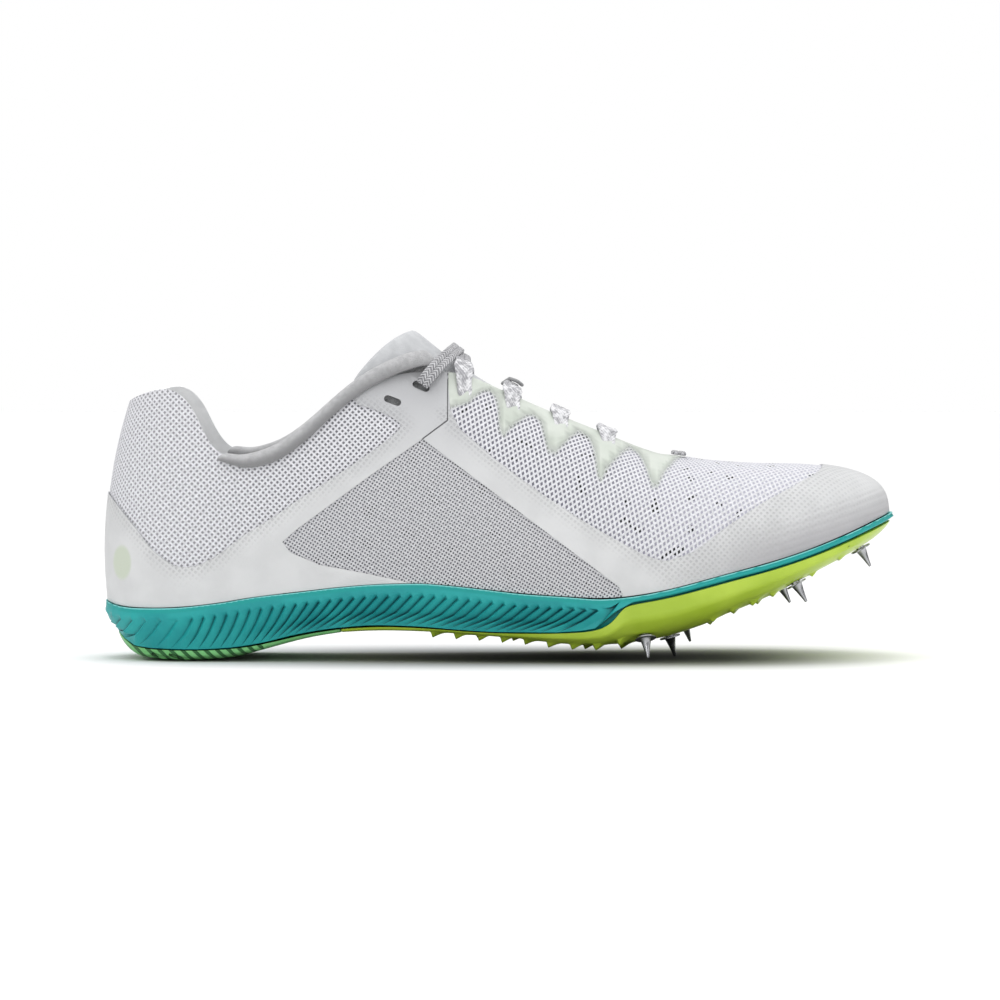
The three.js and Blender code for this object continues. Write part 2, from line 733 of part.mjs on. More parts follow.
// The sole unit: midsole wedge and forefoot band on top, heel rubber and spike plate underneath
const soleGap = 0.55; // clearance between midsole and rubber, whose facets don't line up
const proud = 1.0; // the sole's edge stands out past the upper
const bandHeight = 2.0; // thin forefoot band of the midsole
const rimHeight = 3.3; // plain rim above the ribs
const dish = 1.6; // hollow of the foot bed
const lipWidth = 2.0; // wall of the cup that the plate makes round the midsole
const soleRound = 2.9; // how square the sole's underside turns up to its side
const plateBack = 0.305 * length; // heel rubber ends and plate begins
const plateGap = 0.5; // shadow gap between them
const footTable = through(footRows, "foot", heelHeight);

const taperRows = [
  { at: 0.0, taper: 3.8 },
  { at: 0.06, taper: 2.4 },
  { at: 0.13, taper: 1.4 },
  { at: 0.3, taper: 0.8 },
  { at: 0.6, taper: 0.2 },
  { at: 0.66, taper: -proud },
  { at: 1.0, taper: -proud },
];
const taper = through(taperRows, "taper", 1);

// True x of the feather line at a section.
function edgeX(side, at) {
  return place(side, at, halfWidth[side](at), 0).x;
}

function footLine(x) {
  const band = featherLine(x) - gap - bandHeight;
  return x < wedgeEnd * length ? Math.min(footTable(x), band) : band;
}

// Thickness of rubber or plate under the foot, thinnest in the arch.
const rubberThickness = 3.3;
const thicknessRows = [
  { at: 0.0, thick: 0.49 },
  { at: 0.08, thick: 1.0 },
  { at: 0.15, thick: 0.97 },
  { at: 0.2, thick: 0.73 },
  { at: 0.26, thick: 0.52 },
  { at: 0.34, thick: 0.46 },
  { at: 0.5, thick: 0.46 },
  { at: 0.6, thick: 0.61 },
  { at: 1.0, thick: 0.61 },
];
const thickness = through(thicknessRows, "thick", rubberThickness);

// Top of the rubber's or the plate's rim, a little behind the step in the midsole's foot.
function lipTop(x) {
  return Math.min(footLine(x), footLine(x - 1.2)) - soleGap;
}

// A point of the sole's underside. Angle 0 is its top edge and a quarter turn is the spine.
// The skin that faces the midsole is `inset` from the side and a `lift` above the keel.
function underPoint(side, at, angle, inset, lifted, above) {
  const power = 2 / soleRound;
  const share = Math.max(Math.cos(angle), 0) ** power;
  const out = halfWidth[side](at) - taper(at) - inset;
  const rim = place(side, at, out, 0).x;
  const rimTop = lipTop(edgeX(side, at));
  const lift = (x) => (lifted ? thickness(x) : 0);
  const point = place(side, at, out * share, 0);
  const climb = (rimTop - keelLine(rim) - lift(rim)) * (1 - Math.sin(angle) ** power);
  const ground = lifted ? lift(point.x) + above : 0;
  point.z = Math.max(keelLine(point.x) + climb, 0) + ground;
  return point;
}

const underAngles = [0, 0.25, 0.6, 1.05, Math.PI / 2];

// Rubber or plate between two places along the shoe, closed round the heel or the toe.
function soleUnit(list) {
  const trip = roundTrip(list);
  const columns = trip.map(({ side, at }) => [
    ...[...underAngles].reverse().map((angle) => underPoint(side, at, angle, lipWidth, true, 0)),
    ...underAngles.map((angle) => underPoint(side, at, angle, 0, false, 0)),
  ]);
  const cut = list[0] === 0 ? list.length - 1 : columns.length - 1;
  const ends = [columns[cut], columns[(cut + 1) % columns.length]];
  const sides = skin(columns, { closed: true, skip: (i) => i === cut });
  return solidOf([...sides, ...cap([...ends[1], ...[...ends[0]].reverse().slice(1, -1)])]);
}

// Heel rubber, with slanting grooves across its side that leave lugs between them
const grooveRows = [
  { at: 0.026, up: 0.03, tilt: -0.72 },
  { at: 0.042, up: 0.022, tilt: -0.62 },
  { at: 0.06, up: 0.018, tilt: -0.52 },
  { at: 0.08, up: 0.016, tilt: -0.42 },
  { at: 0.102, up: 0.015, tilt: -0.32 },
];
const grooveLength = 7;
const grooveWidth = 1.1;
const grooveInside = 0.255; // share of the ball width from the spine

function heelRubber() {
  const ends = (plateBack - plateGap) / length;
  const rubber = soleUnit(stations([0, heelShare, 7], [heelShare, ends, 7]));
  return grooveRows.reduce((solid, { at, up, tilt }) => {
    const cuts = [LATERAL, MEDIAL].map((side) => {
      const depth = ballWidth / 4;
      const bar = new THREE.BoxGeometry(grooveLength, depth, grooveWidth);
      const y = side * (grooveInside * ballWidth + depth / 2);
      const turn = new THREE.Matrix4().makeRotationY(-tilt);
      const move = new THREE.Matrix4().makeTranslation(at * length, y, up * heelHeight);
      return solidFromGeometry(bar, move.multiply(turn));
    });
    return cuts.reduce((rest, cut) => rest.subtract(cut), solid);
  }, rubber);
}

// Midsole ribs: each line starts under the rim and sweeps back as it goes down
const ribPitch = 4.1;
const ribDepth = 1.2;
const ribRun = 0.22; // share of a rib taken by its steep face
const sweepRows = [
  { at: 0.0, sweep: 15 },
  { at: 0.06, sweep: 13 },
  { at: 0.12, sweep: 7 },
  { at: 0.2, sweep: 8 },
  { at: 0.32, sweep: 15 },
  { at: 0.6, sweep: 17 },
  { at: wedgeEnd, sweep: 9 },
  { at: 0.7, sweep: 0 },
  { at: 1.0, sweep: 0 },
];
const sweep = through(sweepRows, "sweep", 1);
const ribFirst = 0.02 * length;
const ribLast = 0.635 * length;
const ribLevels = [0, 0.12, 0.6, 1];

function ribStations() {
  const list = [{ at: 0, proudness: 0 }];
  const count = Math.round((ribLast - ribFirst) / ribPitch);
  for (let i = 0; i < count; i += 1) {
    const start = lerp(ribFirst, ribLast, i / count);
    const pitch = (ribLast - ribFirst) / count;
    list.push({ at: start, proudness: 0 });
    list.push({ at: start + pitch * ribRun, proudness: 1 });
  }
  for (const at of stations([0.638, 0.65, 2], [0.65, toeShare, 9], [toeShare, 1, 7]))
    list.push({ at, proudness: 0 });
  return list;
}

// A point of the midsole's side wall, level 0 under the rim and 1 at its foot.
function wallPoint(side, at, level, out) {
  const edge = edgeX(side, at);
  const top = featherLine(edge) - gap;
  const foot = footLine(edge);
  const rim = Math.min(rimHeight, 0.4 * (top - foot));
  const bulge = 0.5 * Math.sin(Math.PI * level);
  const width = halfWidth[side](at) + proud + bulge + out;
  const inward = (proud + taper(at)) * level ** 1.5;
  return place(side, at, width - inward, lerp(top - rim, foot, level));
}

// The foot bed: a shallow dish, as a height above the feather line by share of the half width
const bedFlat = 0.82;
function bedPoint(side, at, share, above) {
  const reach = halfWidth[side](at);
  const point = place(side, at, reach * share, 0);
  const flat = dish * (1 - bedFlat ** 4);
  const edge = 1 + proud / reach;
  const depth = share < bedFlat ? lerp(dish, flat, share / bedFlat) : flat * ((edge - share) / (edge - bedFlat));
  point.z = featherLine(point.x) - depth + above;
  return point;
}

// Bed and underside are smooth, so a group of rib columns shares one station there.
const columnsPerStation = 4;

function midsoleSolid() {
  const list = ribStations();
  const ribbed = list.filter(({ at }) => at < ribLast + ribPitch).length;
  const column = (side, i) => {
    const { at, proudness } = list[i];
    const coarse = i < ribbed ? list[i - (i % columnsPerStation)].at : at;
    const bed = [0, bedFlat].map((share) => bedPoint(side, coarse, share, -gap));
    const top = featherLine(edgeX(side, at)) - gap;
    const edge = place(side, at, halfWidth[side](at) + proud, top);
    const sides = ribLevels.map((level) => {
      const swept = Math.max(at - sweep(at) * level ** 2, 0);
      const fade = level === 0 || level === 1 || swept === 0 || i >= ribbed ? 0 : 1;
      return wallPoint(side, swept, level, (proudness - 1) * ribDepth * fade);
    });
    const inner = underAngles.map((angle) =>
      underPoint(side, Math.max(coarse - sweep(coarse), 0), angle, lipWidth + soleGap, true, soleGap),
    );
    return [...bed, edge, ...sides, ...inner];
  };
  const there = list.map((_, i) => column(LATERAL, i));
  const back = list.map((_, i) => column(MEDIAL, i)).reverse().slice(1, -1);
  return solidOf(skin([...there, ...back], { closed: true }));
}

// Insole: a thin pad on the foot bed, inside the upper
const insoleThickness = 3.6;
const insoleClearance = 1.3;
function insoleSolid() {
  const list = stations([0, heelShare, 4], [heelShare, toeShare, 9], [toeShare, 1, 4]);
  const columns = roundTrip(list).map(({ side, at }) => {
    const edge = 1 - (wall + insoleClearance) / halfWidth[side](at);
    return [
      bedPoint(side, at, 0, insoleThickness),
      bedPoint(side, at, bedFlat, insoleThickness),
      bedPoint(side, at, edge, insoleThickness - 1),
      bedPoint(side, at, edge, gap),
      bedPoint(side, at, bedFlat, gap),
      bedPoint(side, at, 0, gap),
    ];
  });
  return solidOf(skin(columns, { closed: true }));
}

// Tongue: a thin padded sheet under the throat, rising past the collar
const tongueFront = 0.735 * length;
const tongueTopAt = 0.397 * length; // its middle ends here
const tongueCornerAt = 0.305 * length; // and its corners further back
const tonguePeak = 1.6; // its middle stands up above its sides at the top
const tongueThickness = 3.2;
const tongueDepth = wall + gap + 1; // from the last's surface
const tongueUnderRoll = 3.4; // its sides pass further in, under the collar roll
const tongueRise = 0.46 * length;
const tongueRiseLength = 0.05 * length;
const tongueTuck = 0.16; // share of the section that stays under the eyestay
const tongueRows = 11;
const tongueColumns = 4;
function tongueSolid() {
  const side = (q) => (q < 0 ? LATERAL : MEDIAL);
  const point = (s, q, deep) => {
    const end = lerp(tongueTopAt, tongueCornerAt, Math.abs(q) ** 1.6);
    const at = lerp(tongueFront, end, s);
    const edge = topCut(side(q), Math.max(at, corner)) - tongueTuck;
    const v = 1 - (1 - edge) * Math.abs(q);
    const thin = lerp(1.2, tongueThickness, clamp(s * 4, 0, 1)) * (1 - 0.45 * Math.abs(q) ** 3);
    const under = clamp((tongueRise - at) / tongueRiseLength, 0, 1) * tongueUnderRoll * q * q;
    const peak = tonguePeak * s ** 12 * (1 - q * q);
    return offPoint(side(q), at, v, peak - tongueDepth - under - (deep ? thin : 0));
  };
  const columns = [];
  for (let i = 0; i <= tongueRows; i += 1) {
    const s = i / tongueRows;
    const top = [];
    const under = [];
    for (let k = -tongueColumns; k <= tongueColumns; k += 1) {
      top.push(point(s, k / tongueColumns, false));
      under.push(point(s, k / tongueColumns, true));
    }
    columns.push([...top, ...under.reverse()]);
  }
  const ends = [columns[0], columns[columns.length - 1]].flatMap((ring) => {
    const half = ring.length / 2;
    const triangles = [];
    for (let k = 0; k < half - 1; k += 1) {
      const [a, b] = [ring[k], ring[k + 1]];
      const [c, d] = [ring[ring.length - 2 - k], ring[ring.length - 1 - k]];
      triangles.push([a, b, c], [a, c, d]);
    }
    return ring === columns[0] ? triangles.map(([a, b, c]) => [a, c, b]) : triangles;
  });
  return solidOf([...skin(columns, { loop: true }), ...ends.map(([a, b, c]) => [a, c, b])]);
}

// Spikes: a tapered pin on a round washer, with a stem that sits in a pocket of the plate
const spikes = [
  { name: "spike_rear_centre", at: 0.7165, across: 0.04 },
  { name: "spike_rear_lateral", at: 0.681, across: -0.8 },
  { name: "spike_rear_medial", at: 0.739, across: 0.62 },
  { name: "spike_front_lateral", at: 0.87, across: -0.6 },
  { name: "spike_front_medial", at: 0.86, across: 0.36 },
  { name: "spike_toe", at: 0.958, across: 0.06 },
];
const washerRadius = 3.8;
const washerThickness = 0.7;
const pinRadius = 2.1;
const tipRadius = 0.45;
const stemRadius = 1.7;
const stemLength = 0.9;
const spikeSides = 8;

// The point of the underside at true x and y. Past the toe's pivot the sections fan out.
function undersideAt(x, y) {
  const side = y < spineOffset(x) ? LATERAL : MEDIAL;
  const away = Math.abs(y - spineOffset(x));
  const past = Math.max(x - toePivot, 0);
  const turn = Math.atan2(past, away) / (Math.PI / 2);
  const at = past > 0 ? lerp(toePivot, length, turn) : x;
  const share = Math.min(Math.hypot(past, away) / (halfWidth[side](at) - taper(at)), 1);
  return underPoint(side, at, Math.acos(share ** (soleRound / 2)), 0, false, 0);
}

// Where a spike or tooth stands: its foot on the underside, and the way down and out from there
function spikeSeat({ at, across }) {
  const side = across < 0 ? LATERAL : MEDIAL;
  const x = at * length;
  const y = spineOffset(x) + across * (halfWidth[side](Math.min(x, toePivot)) - taper(x));
  const along = undersideAt(x + 1, y).sub(undersideAt(x - 1, y));
  const over = undersideAt(x, y + 1).sub(undersideAt(x, y - 1));
  return { point: undersideAt(x, y), down: over.cross(along).normalize() };
}

function spikeMatrix(spike) {
  const { point, down } = spikeSeat(spike);
  const turn = new THREE.Quaternion().setFromUnitVectors(new THREE.Vector3(0, 1, 0), down);
  const seat = point.clone().addScaledVector(down, gap);
  return new THREE.Matrix4().compose(seat, turn, new THREE.Vector3(1, 1, 1));
}

// The rear centre spike reaches the ground, and all of them are the same.
const standing = spikeSeat(spikes[0]);
const spikeReach = -standing.point.z / standing.down.z - gap;

function spikeSolid(spike) {
  const profile = [
    [0, -stemLength],
    [stemRadius, -stemLength],
    [stemRadius, 0],
    [washerRadius, 0],
    [washerRadius - 0.2, washerThickness],
    [pinRadius, washerThickness],
    [tipRadius, spikeReach],
    [0, spikeReach],
  ].map(([r, y]) => new THREE.Vector2(r, y));
  return solidFromGeometry(new THREE.LatheGeometry(profile, spikeSides), spikeMatrix(spike));
}

function pocketFor(spike) {
  const depth = stemLength + gap;
  const hole = new THREE.CylinderGeometry(stemRadius + gap, stemRadius + gap, depth * 2, spikeSides);
  return solidFromGeometry(hole, spikeMatrix(spike));
}

// Plate teeth: rows of saw teeth under the plate, each with a steep back and a long front
const toothHeight = 2.2;
const toothLength = 6.4;
const toothWidth = 8;
const toothRoot = 1.2; // sunk into the plate
const toothLean = 0.3; // how far back of its middle the tip stands, by the tooth's length
const toothRows = [
  { from: 0.425, to: 0.655, count: 9, across: 0.78, tall: 1 },
  { from: 0.77, to: 0.845, count: 4, across: 0.72, tall: 0.55 },
  { from: 0.895, to: 0.93, count: 2, across: 0.6, tall: 0.55 },
  { from: 0.48, to: 0.66, count: 5, across: 0.3, tall: 0.8 },
  { from: 0.77, to: 0.83, count: 3, across: 0.3, tall: 0.5 },
];

function toothSolid(at, across, tall) {
  const { point, down } = spikeSeat({ at, across });
  const forward = new THREE.Vector3(1, 0, 0).addScaledVector(down, -down.x).normalize();
  const sideways = new THREE.Vector3().crossVectors(down, forward);
  const corner = (x, y, z) =>
    point.clone().addScaledVector(forward, x).addScaledVector(sideways, y).addScaledVector(down, z);
  const [x, y] = [toothLength / 2, toothWidth / 2];
  const [a, b, c, d] = [[-x, -y], [x, -y], [x, y], [-x, y]].map(([u, w]) => corner(u, w, -toothRoot));
  const tip = corner(-toothLean * toothLength, 0, toothHeight * tall);
  const faces = [[a, b, tip], [b, c, tip], [c, d, tip], [d, a, tip]];
  return solidOf([...faces, [a, c, b], [a, d, c]]);
}

function plateSolid() {
  const along = stations([plateBack / length, 0.6, 8], [0.6, 0.66, 7], [0.66, toeShare, 6], [toeShare, 1, 5]);
  const teeth = toothRows.flatMap(({ from, to, count, across, tall }) =>
    Array.from({ length: count }, (_, i) => lerp(from, to, i / (count - 1))).flatMap((at) => [
      toothSolid(at, -across, tall),
      toothSolid(at, across, tall),
    ]),
  );
  const toothed = teeth.reduce((plate, tooth) => plate.add(tooth), soleUnit(along));
  return spikes.reduce((plate, spike) => plate.subtract(pocketFor(spike)), toothed);
}

// Materials
const material = (color, roughness, metalness = 0) =>
  new THREE.MeshStandardMaterial({ color, roughness, metalness });
const mesh = material("#e9eaec", 0.85);
const lining = material("#c9cacc", 0.95);
const film = material("#dadbdd", 0.5);
const clear = material("#c3c9c4", 0.3);
const cord = material("#e4e5e8", 0.85);
const teal = material("#1d8f8f", 0.6);
const lime = material("#b4cf4a", 0.35);
const green = material("#5fc27a", 0.5);
const steel = material("#b9bcc0", 0.3, 1);

const shoe = new THREE.Group();
shoe.position.x = -heelPad;

function add(name, solid, finish) {
  const made = new THREE.Mesh(geometryOf(solid), finish);
  made.name = name;
  shoe.add(made);
}

add("upper", upperSolid(), mesh);
add("film_overlay", filmSolid(), film);
for (const [name, side] of [["lateral", LATERAL], ["medial", MEDIAL]]) {
  add(`lace_loops_${name}`, loopFilm(side), clear);
  add(`collar_roll_${name}`, rollSolid(side), lining);
}
add("lace", laceSolid(), cord);
add("lace_keeper", keeperSolid(), lining);
add("midsole", midsoleSolid(), teal);
add("heel_outsole", heelRubber(), green);
add("spike_plate", plateSolid(), lime);
for (const spike of spikes) add(spike.name, spikeSolid(spike), steel);
add("insole", insoleSolid(), lining);
add("tongue", tongueSolid(), lining);

export default shoe;
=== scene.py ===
# %% [markdown]
# # A track spike shoe
#
# A light running shoe for the track: a bootie of pale mesh with thin films welded over it, a teal
# foam wedge with swept ribs, green rubber under the heel and a lime plate with six steel spikes.
# The script starts from the solids of the CAD part. It keeps their places and sizes, and gives each
# of them the shape and the finish that the eye expects from a step away.

import math

import bpy
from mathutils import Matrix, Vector
from mathutils.bvhtree import BVHTree


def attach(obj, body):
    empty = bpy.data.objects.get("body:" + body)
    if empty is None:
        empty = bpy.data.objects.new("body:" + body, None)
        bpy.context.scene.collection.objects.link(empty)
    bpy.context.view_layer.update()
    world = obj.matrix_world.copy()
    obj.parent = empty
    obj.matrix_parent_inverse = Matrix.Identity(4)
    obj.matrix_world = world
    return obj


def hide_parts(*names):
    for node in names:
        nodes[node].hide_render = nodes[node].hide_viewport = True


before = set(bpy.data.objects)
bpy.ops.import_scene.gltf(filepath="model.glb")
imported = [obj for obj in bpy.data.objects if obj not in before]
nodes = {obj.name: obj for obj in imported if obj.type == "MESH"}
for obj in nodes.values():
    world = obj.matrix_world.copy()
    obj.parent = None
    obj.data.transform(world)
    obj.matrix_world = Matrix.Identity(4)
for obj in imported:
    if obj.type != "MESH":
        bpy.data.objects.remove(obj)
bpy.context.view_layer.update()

# %% [markdown]
# ## Floor, light and camera
#
# A shoe for a shop page stands on a white sheet in a white room. The floor here is one wide sheet,
# and the camera sees the room as plain white, so that no horizon shows. The camera stands at the
# shoe's side and looks down by little more than a degree, with a long lens, which keeps the outline
# true. Three helpers that every later step uses come first.

# %% Floor, and three small helpers
MM = 0.001


def only(piece):
    """Selects one object and nothing else."""
    bpy.ops.object.select_all(action="DESELECT")
    piece.select_set(True)
    bpy.context.view_layer.objects.active = piece


def in_edit_mode(piece, *steps):
    """Opens a piece in edit mode with all of it selected, runs the steps and closes it again."""
    only(piece)
    bpy.ops.object.mode_set(mode="EDIT")
    bpy.ops.mesh.select_all(action="SELECT")
    for step in steps:
        step()
    bpy.ops.object.mode_set(mode="OBJECT")


def settle(piece):
    """Puts a piece's place, turn and size into its mesh."""
    only(piece)
    bpy.ops.object.transform_apply(location=True, rotation=True, scale=True)


bpy.ops.object.select_all(action="DESELECT")
bpy.ops.mesh.primitive_plane_add(size=60, location=(0.11, 0, 0))
floor = bpy.context.object
floor.name = "floor"
settle(floor)
print("floor faces", len(floor.data.polygons))

# %% Camera at the photograph's height and side
VIEW_MIDDLE = Vector((114.5 * MM, 0, 57.2 * MM))
VIEW_WIDTH = 364 * MM
CAMERA_BACK = 1.5
CAMERA_TILT = math.radians(1.4)

camera_data = bpy.data.cameras.new("camera")
camera = bpy.data.objects.new("camera", camera_data)
bpy.context.scene.collection.objects.link(camera)
camera_data.lens = camera_data.sensor_width * CAMERA_BACK / VIEW_WIDTH
camera_data.clip_start = 0.05
towards_camera = Vector((0, -math.cos(CAMERA_TILT), math.sin(CAMERA_TILT)))
camera.location = VIEW_MIDDLE + CAMERA_BACK * towards_camera
camera.rotation_euler = (math.pi / 2 - CAMERA_TILT, 0, 0)
bpy.context.scene.camera = camera
print("lens", round(camera_data.lens, 1), "mm")

# %% [markdown]
# ### Light
#
# A studio tent is bright above and dim near the table. The room's light therefore grows from the
# floor to the ceiling, which leaves the undersides darker, and three soft lamps shape the rest. Rays
# that come straight from the camera see plain white instead.


# %% Soft lamps and a bright room
def lamp(name, place, target, width, height, watts):
    data = bpy.data.lights.new(name, "AREA")
    data.shape = "RECTANGLE"
    data.size = width
    data.size_y = height
    data.energy = watts
    made = bpy.data.objects.new(name, data)
    bpy.context.scene.collection.objects.link(made)
    made.location = place
    made.rotation_euler = (Vector(target) - Vector(place)).to_track_quat("-Z", "Y").to_euler()


SHOE = (0.11, 0, 0.05)
lamp("lamp_over", (0.05, 0.25, 1.3), SHOE, 0.5, 0.5, 3.0)
lamp("lamp_front", (-0.3, -1.5, 0.4), SHOE, 0.7, 0.5, 3.2)
lamp("lamp_toe", (1.1, -0.6, 0.4), SHOE, 0.5, 0.5, 0.8)
world = bpy.data.worlds.new("room")
bpy.context.scene.world = world
world.use_nodes = True
room = world.node_tree
LOW_LIGHT = 0.2  # of the room near the floor
HIGH_LIGHT = 1.58  # of its ceiling
direction = room.nodes.new("ShaderNodeSeparateXYZ")
room.links.new(room.nodes.new("ShaderNodeTexCoord").outputs["Generated"], direction.inputs[0])
height = room.nodes.new("ShaderNodeMapRange")
room.links.new(direction.outputs["Z"], height.inputs["Value"])
height.inputs["To Min"].default_value = LOW_LIGHT
height.inputs["To Max"].default_value = HIGH_LIGHT
seen = room.nodes.new("ShaderNodeMix")
room.links.new(room.nodes.new("ShaderNodeLightPath").outputs["Is Camera Ray"], seen.inputs["Factor"])
room.links.new(height.outputs["Result"], seen.inputs["A"])
seen.inputs["B"].default_value = 1.0
room.nodes["Background"].inputs["Color"].default_value = (1, 1, 1, 1)
room.links.new(seen.outputs["Result"], room.nodes["Background"].inputs["Strength"])
bpy.context.scene.view_settings.view_transform = "Standard"
print("room from", LOW_LIGHT, "to", HIGH_LIGHT)

# %% [markdown]
# ## Finishes
#
# Each finish is a small graph. What several of them share, such as a field of holes or a fine
# grain, is a node group with named sockets, made once. Groups give masks, heights and colours; the
# Principled shader stays in the material, where its plain numbers are set.


# %% Helpers for node graphs
def new_group(name, inputs, outputs):
    """A node group with typed sockets. Returns it with its input and output nodes."""
    group = bpy.data.node_groups.new(name, "ShaderNodeTree")
    for label, kind, value in inputs:
        socket = group.interface.new_socket(label, in_out="INPUT", socket_type=kind)
        if value is not None:
            socket.default_value = value
    for label, kind in outputs:
        group.interface.new_socket(label, in_out="OUTPUT", socket_type=kind)
    return group, group.nodes.new("NodeGroupInput"), group.nodes.new("NodeGroupOutput")


def node(tree, kind, **settings):
    """Adds a node; `inputs` sets its sockets, and a socket given as a value is linked."""
    made = tree.nodes.new(kind)
    inputs = settings.pop("inputs", {})
    for key, value in settings.items():
        setattr(made, key, value)
    for key, value in inputs.items():
        if isinstance(value, bpy.types.NodeSocket):
            tree.links.new(value, made.inputs[key])
        else:
            made.inputs[key].default_value = value
    return made


def maths(tree, operation, a, b=0.0, clamp=False):
    return node(
        tree, "ShaderNodeMath", operation=operation, use_clamp=clamp, inputs={0: a, 1: b}
    ).outputs[0]


def product(tree, *values):
    """Multiplies values with each other."""
    result = values[0]
    for value in values[1:]:
        result = maths(tree, "MULTIPLY", result, value)
    return result


def parts(tree, vector):
    """X, Y and Z of a vector."""
    return node(tree, "ShaderNodeSeparateXYZ", inputs={0: vector}).outputs


def attribute(tree, name):
    return node(tree, "ShaderNodeAttribute", attribute_name=name).outputs["Fac"]


def inverse(tree, mask):
    return maths(tree, "SUBTRACT", 1.0, mask)


def blend(tree, mask, low, high):
    """Mixes two colours by a mask."""
    inputs = {"Factor": mask, "A": low, "B": high}
    return node(tree, "ShaderNodeMix", data_type="RGBA", inputs=inputs).outputs["Result"]


def between(tree, value, low, high):
    """0 below low, 1 above high, smooth between."""
    span = node(
        tree,
        "ShaderNodeMapRange",
        interpolation_type="SMOOTHSTEP",
        inputs={"Value": value, "From Min": low, "From Max": high},
    )
    return span.outputs["Result"]


# %% [markdown]
# ### A field of knitted holes
#
# A knitted mesh is two sets of yarns with holes between them. Each set is a cosine across it, and
# the lower of the two peaks only where both are open. Turn and Shear lay the two sets at the angles
# of the cloth. The group reads the piece's own UV map in metres, so the holes follow the foot.

# %% Group: knitted holes
holes_group, holes_in, holes_out = new_group(
    "knitted_holes",
    [
        ("Vector", "NodeSocketVector", None),
        ("Pitch", "NodeSocketFloat", 0.0016),
        ("Turn", "NodeSocketFloat", 0.0),
        ("Stretch", "NodeSocketFloat", 1.0),
        ("Shear", "NodeSocketFloat", 0.0),
        ("Size", "NodeSocketFloat", 0.2),
    ],
    [("Hole", "NodeSocketFloat"), ("Height", "NodeSocketFloat")],
)
turned = node(
    holes_group,
    "ShaderNodeVectorRotate",
    rotation_type="Z_AXIS",
    inputs={"Vector": holes_in.outputs["Vector"], "Angle": holes_in.outputs["Turn"]},
)
wobble = node(
    holes_group,
    "ShaderNodeTexNoise",
    inputs={"Vector": holes_in.outputs["Vector"], "Scale": 220.0, "Detail": 1.0},
)
axes = parts(holes_group, turned.outputs[0])
shift = product(holes_group, maths(holes_group, "SUBTRACT", wobble.outputs["Fac"], 0.5), 0.9)
slid = product(holes_group, axes["X"], holes_in.outputs["Shear"])
row_pitch = product(holes_group, holes_in.outputs["Pitch"], holes_in.outputs["Stretch"])
waves = []
for place, pitch in (
    (axes["X"], holes_in.outputs["Pitch"]),
    (maths(holes_group, "ADD", axes["Y"], slid), row_pitch),
):
    turns = product(holes_group, maths(holes_group, "DIVIDE", place, pitch), 2 * math.pi)
    waves.append(maths(holes_group, "COSINE", maths(holes_group, "ADD", turns, shift)))
field = maths(holes_group, "MINIMUM", waves[0], waves[1])
open_at = maths(holes_group, "ADD", holes_in.outputs["Size"], 0.5)
hole = between(holes_group, field, holes_in.outputs["Size"], open_at)
holes_group.links.new(hole, holes_out.inputs["Hole"])
holes_group.links.new(inverse(holes_group, hole), holes_out.inputs["Height"])
print(holes_group.name, len(holes_group.nodes), "nodes")

# %% [markdown]
# ### A fine grain
#
# Film, foam and rubber are never quite even. Two noises of different size, one for tone and one for
# the surface, keep each of them from looking like paint.

# %% Group: grain
grain_group, grain_in, grain_out = new_group(
    "grain",
    [
        ("Vector", "NodeSocketVector", None),
        ("Fine", "NodeSocketFloat", 1500.0),
        ("Broad", "NodeSocketFloat", 60.0),
    ],
    [("Tone", "NodeSocketFloat"), ("Height", "NodeSocketFloat")],
)
for scale, output in (("Broad", "Tone"), ("Fine", "Height")):
    noise = node(
        grain_group,
        "ShaderNodeTexNoise",
        inputs={"Vector": grain_in.outputs["Vector"], "Scale": grain_in.outputs[scale], "Detail": 3.0},
    )
    grain_group.links.new(noise.outputs["Fac"], grain_out.inputs[output])

# %% [markdown]
# ### Painted shade in creases
#
# Between two ribs of a moulding little light gets in. Ambient Occlusion tells how open a point of
# the surface is within a reach, and the group turns that into a mask for painted shade. It works on
# every form, and no map has to be drawn.

# %% Group: painted crease shade
crease_group, crease_in, crease_out = new_group(
    "crease_shade", [("Reach", "NodeSocketFloat", 0.002)], [("Mask", "NodeSocketFloat")]
)
closed_in = node(
    crease_group,
    "ShaderNodeAmbientOcclusion",
    samples=8,
    only_local=True,
    inputs={"Distance": crease_in.outputs["Reach"]},
)
open_share = between(crease_group, closed_in.outputs["AO"], 0.45, 0.9)
crease_group.links.new(inverse(crease_group, open_share), crease_out.inputs["Mask"])

# %% [markdown]
# ### One way to start every finish
#
# Most finishes are two close tones with a grain. One helper makes such a finish in a single call,
# and the special ones add to what it made.


# %% Helpers for finishes
def new_material(name, roughness, **shader_values):
    """A material with its Principled shader. Returns the material, its tree and the shader."""
    made = bpy.data.materials.new(name)
    made.use_nodes = True
    shader = made.node_tree.nodes["Principled BSDF"]
    shader.inputs["Roughness"].default_value = roughness
    for key, value in shader_values.items():
        shader.inputs[key.replace("_", " ")].default_value = value
    return made, made.node_tree, shader


def coordinates(tree, kind="Object"):
    return node(tree, "ShaderNodeTexCoord").outputs[kind]


def use_group(tree, group, **inputs):
    return node(tree, "ShaderNodeGroup", node_tree=group, inputs=inputs)


def bump(tree, shader, height, depth, strength=1.0):
    raised = node(
        tree, "ShaderNodeBump", inputs={"Height": height, "Distance": depth, "Strength": strength}
    )
    tree.links.new(raised.outputs["Normal"], shader.inputs["Normal"])


def paint(tree, shader, colour):
    tree.links.new(colour, shader.inputs["Base Color"])


def layered(made, *layers):
    """Lays colours over the tone that a finish already has, each by its mask."""
    tree = made.node_tree
    shader = tree.nodes["Principled BSDF"]
    tone = shader.inputs["Base Color"].links[0].from_socket
    for mask, colour in layers:
        tone = blend(tree, mask, tone, colour)
    paint(tree, shader, tone)


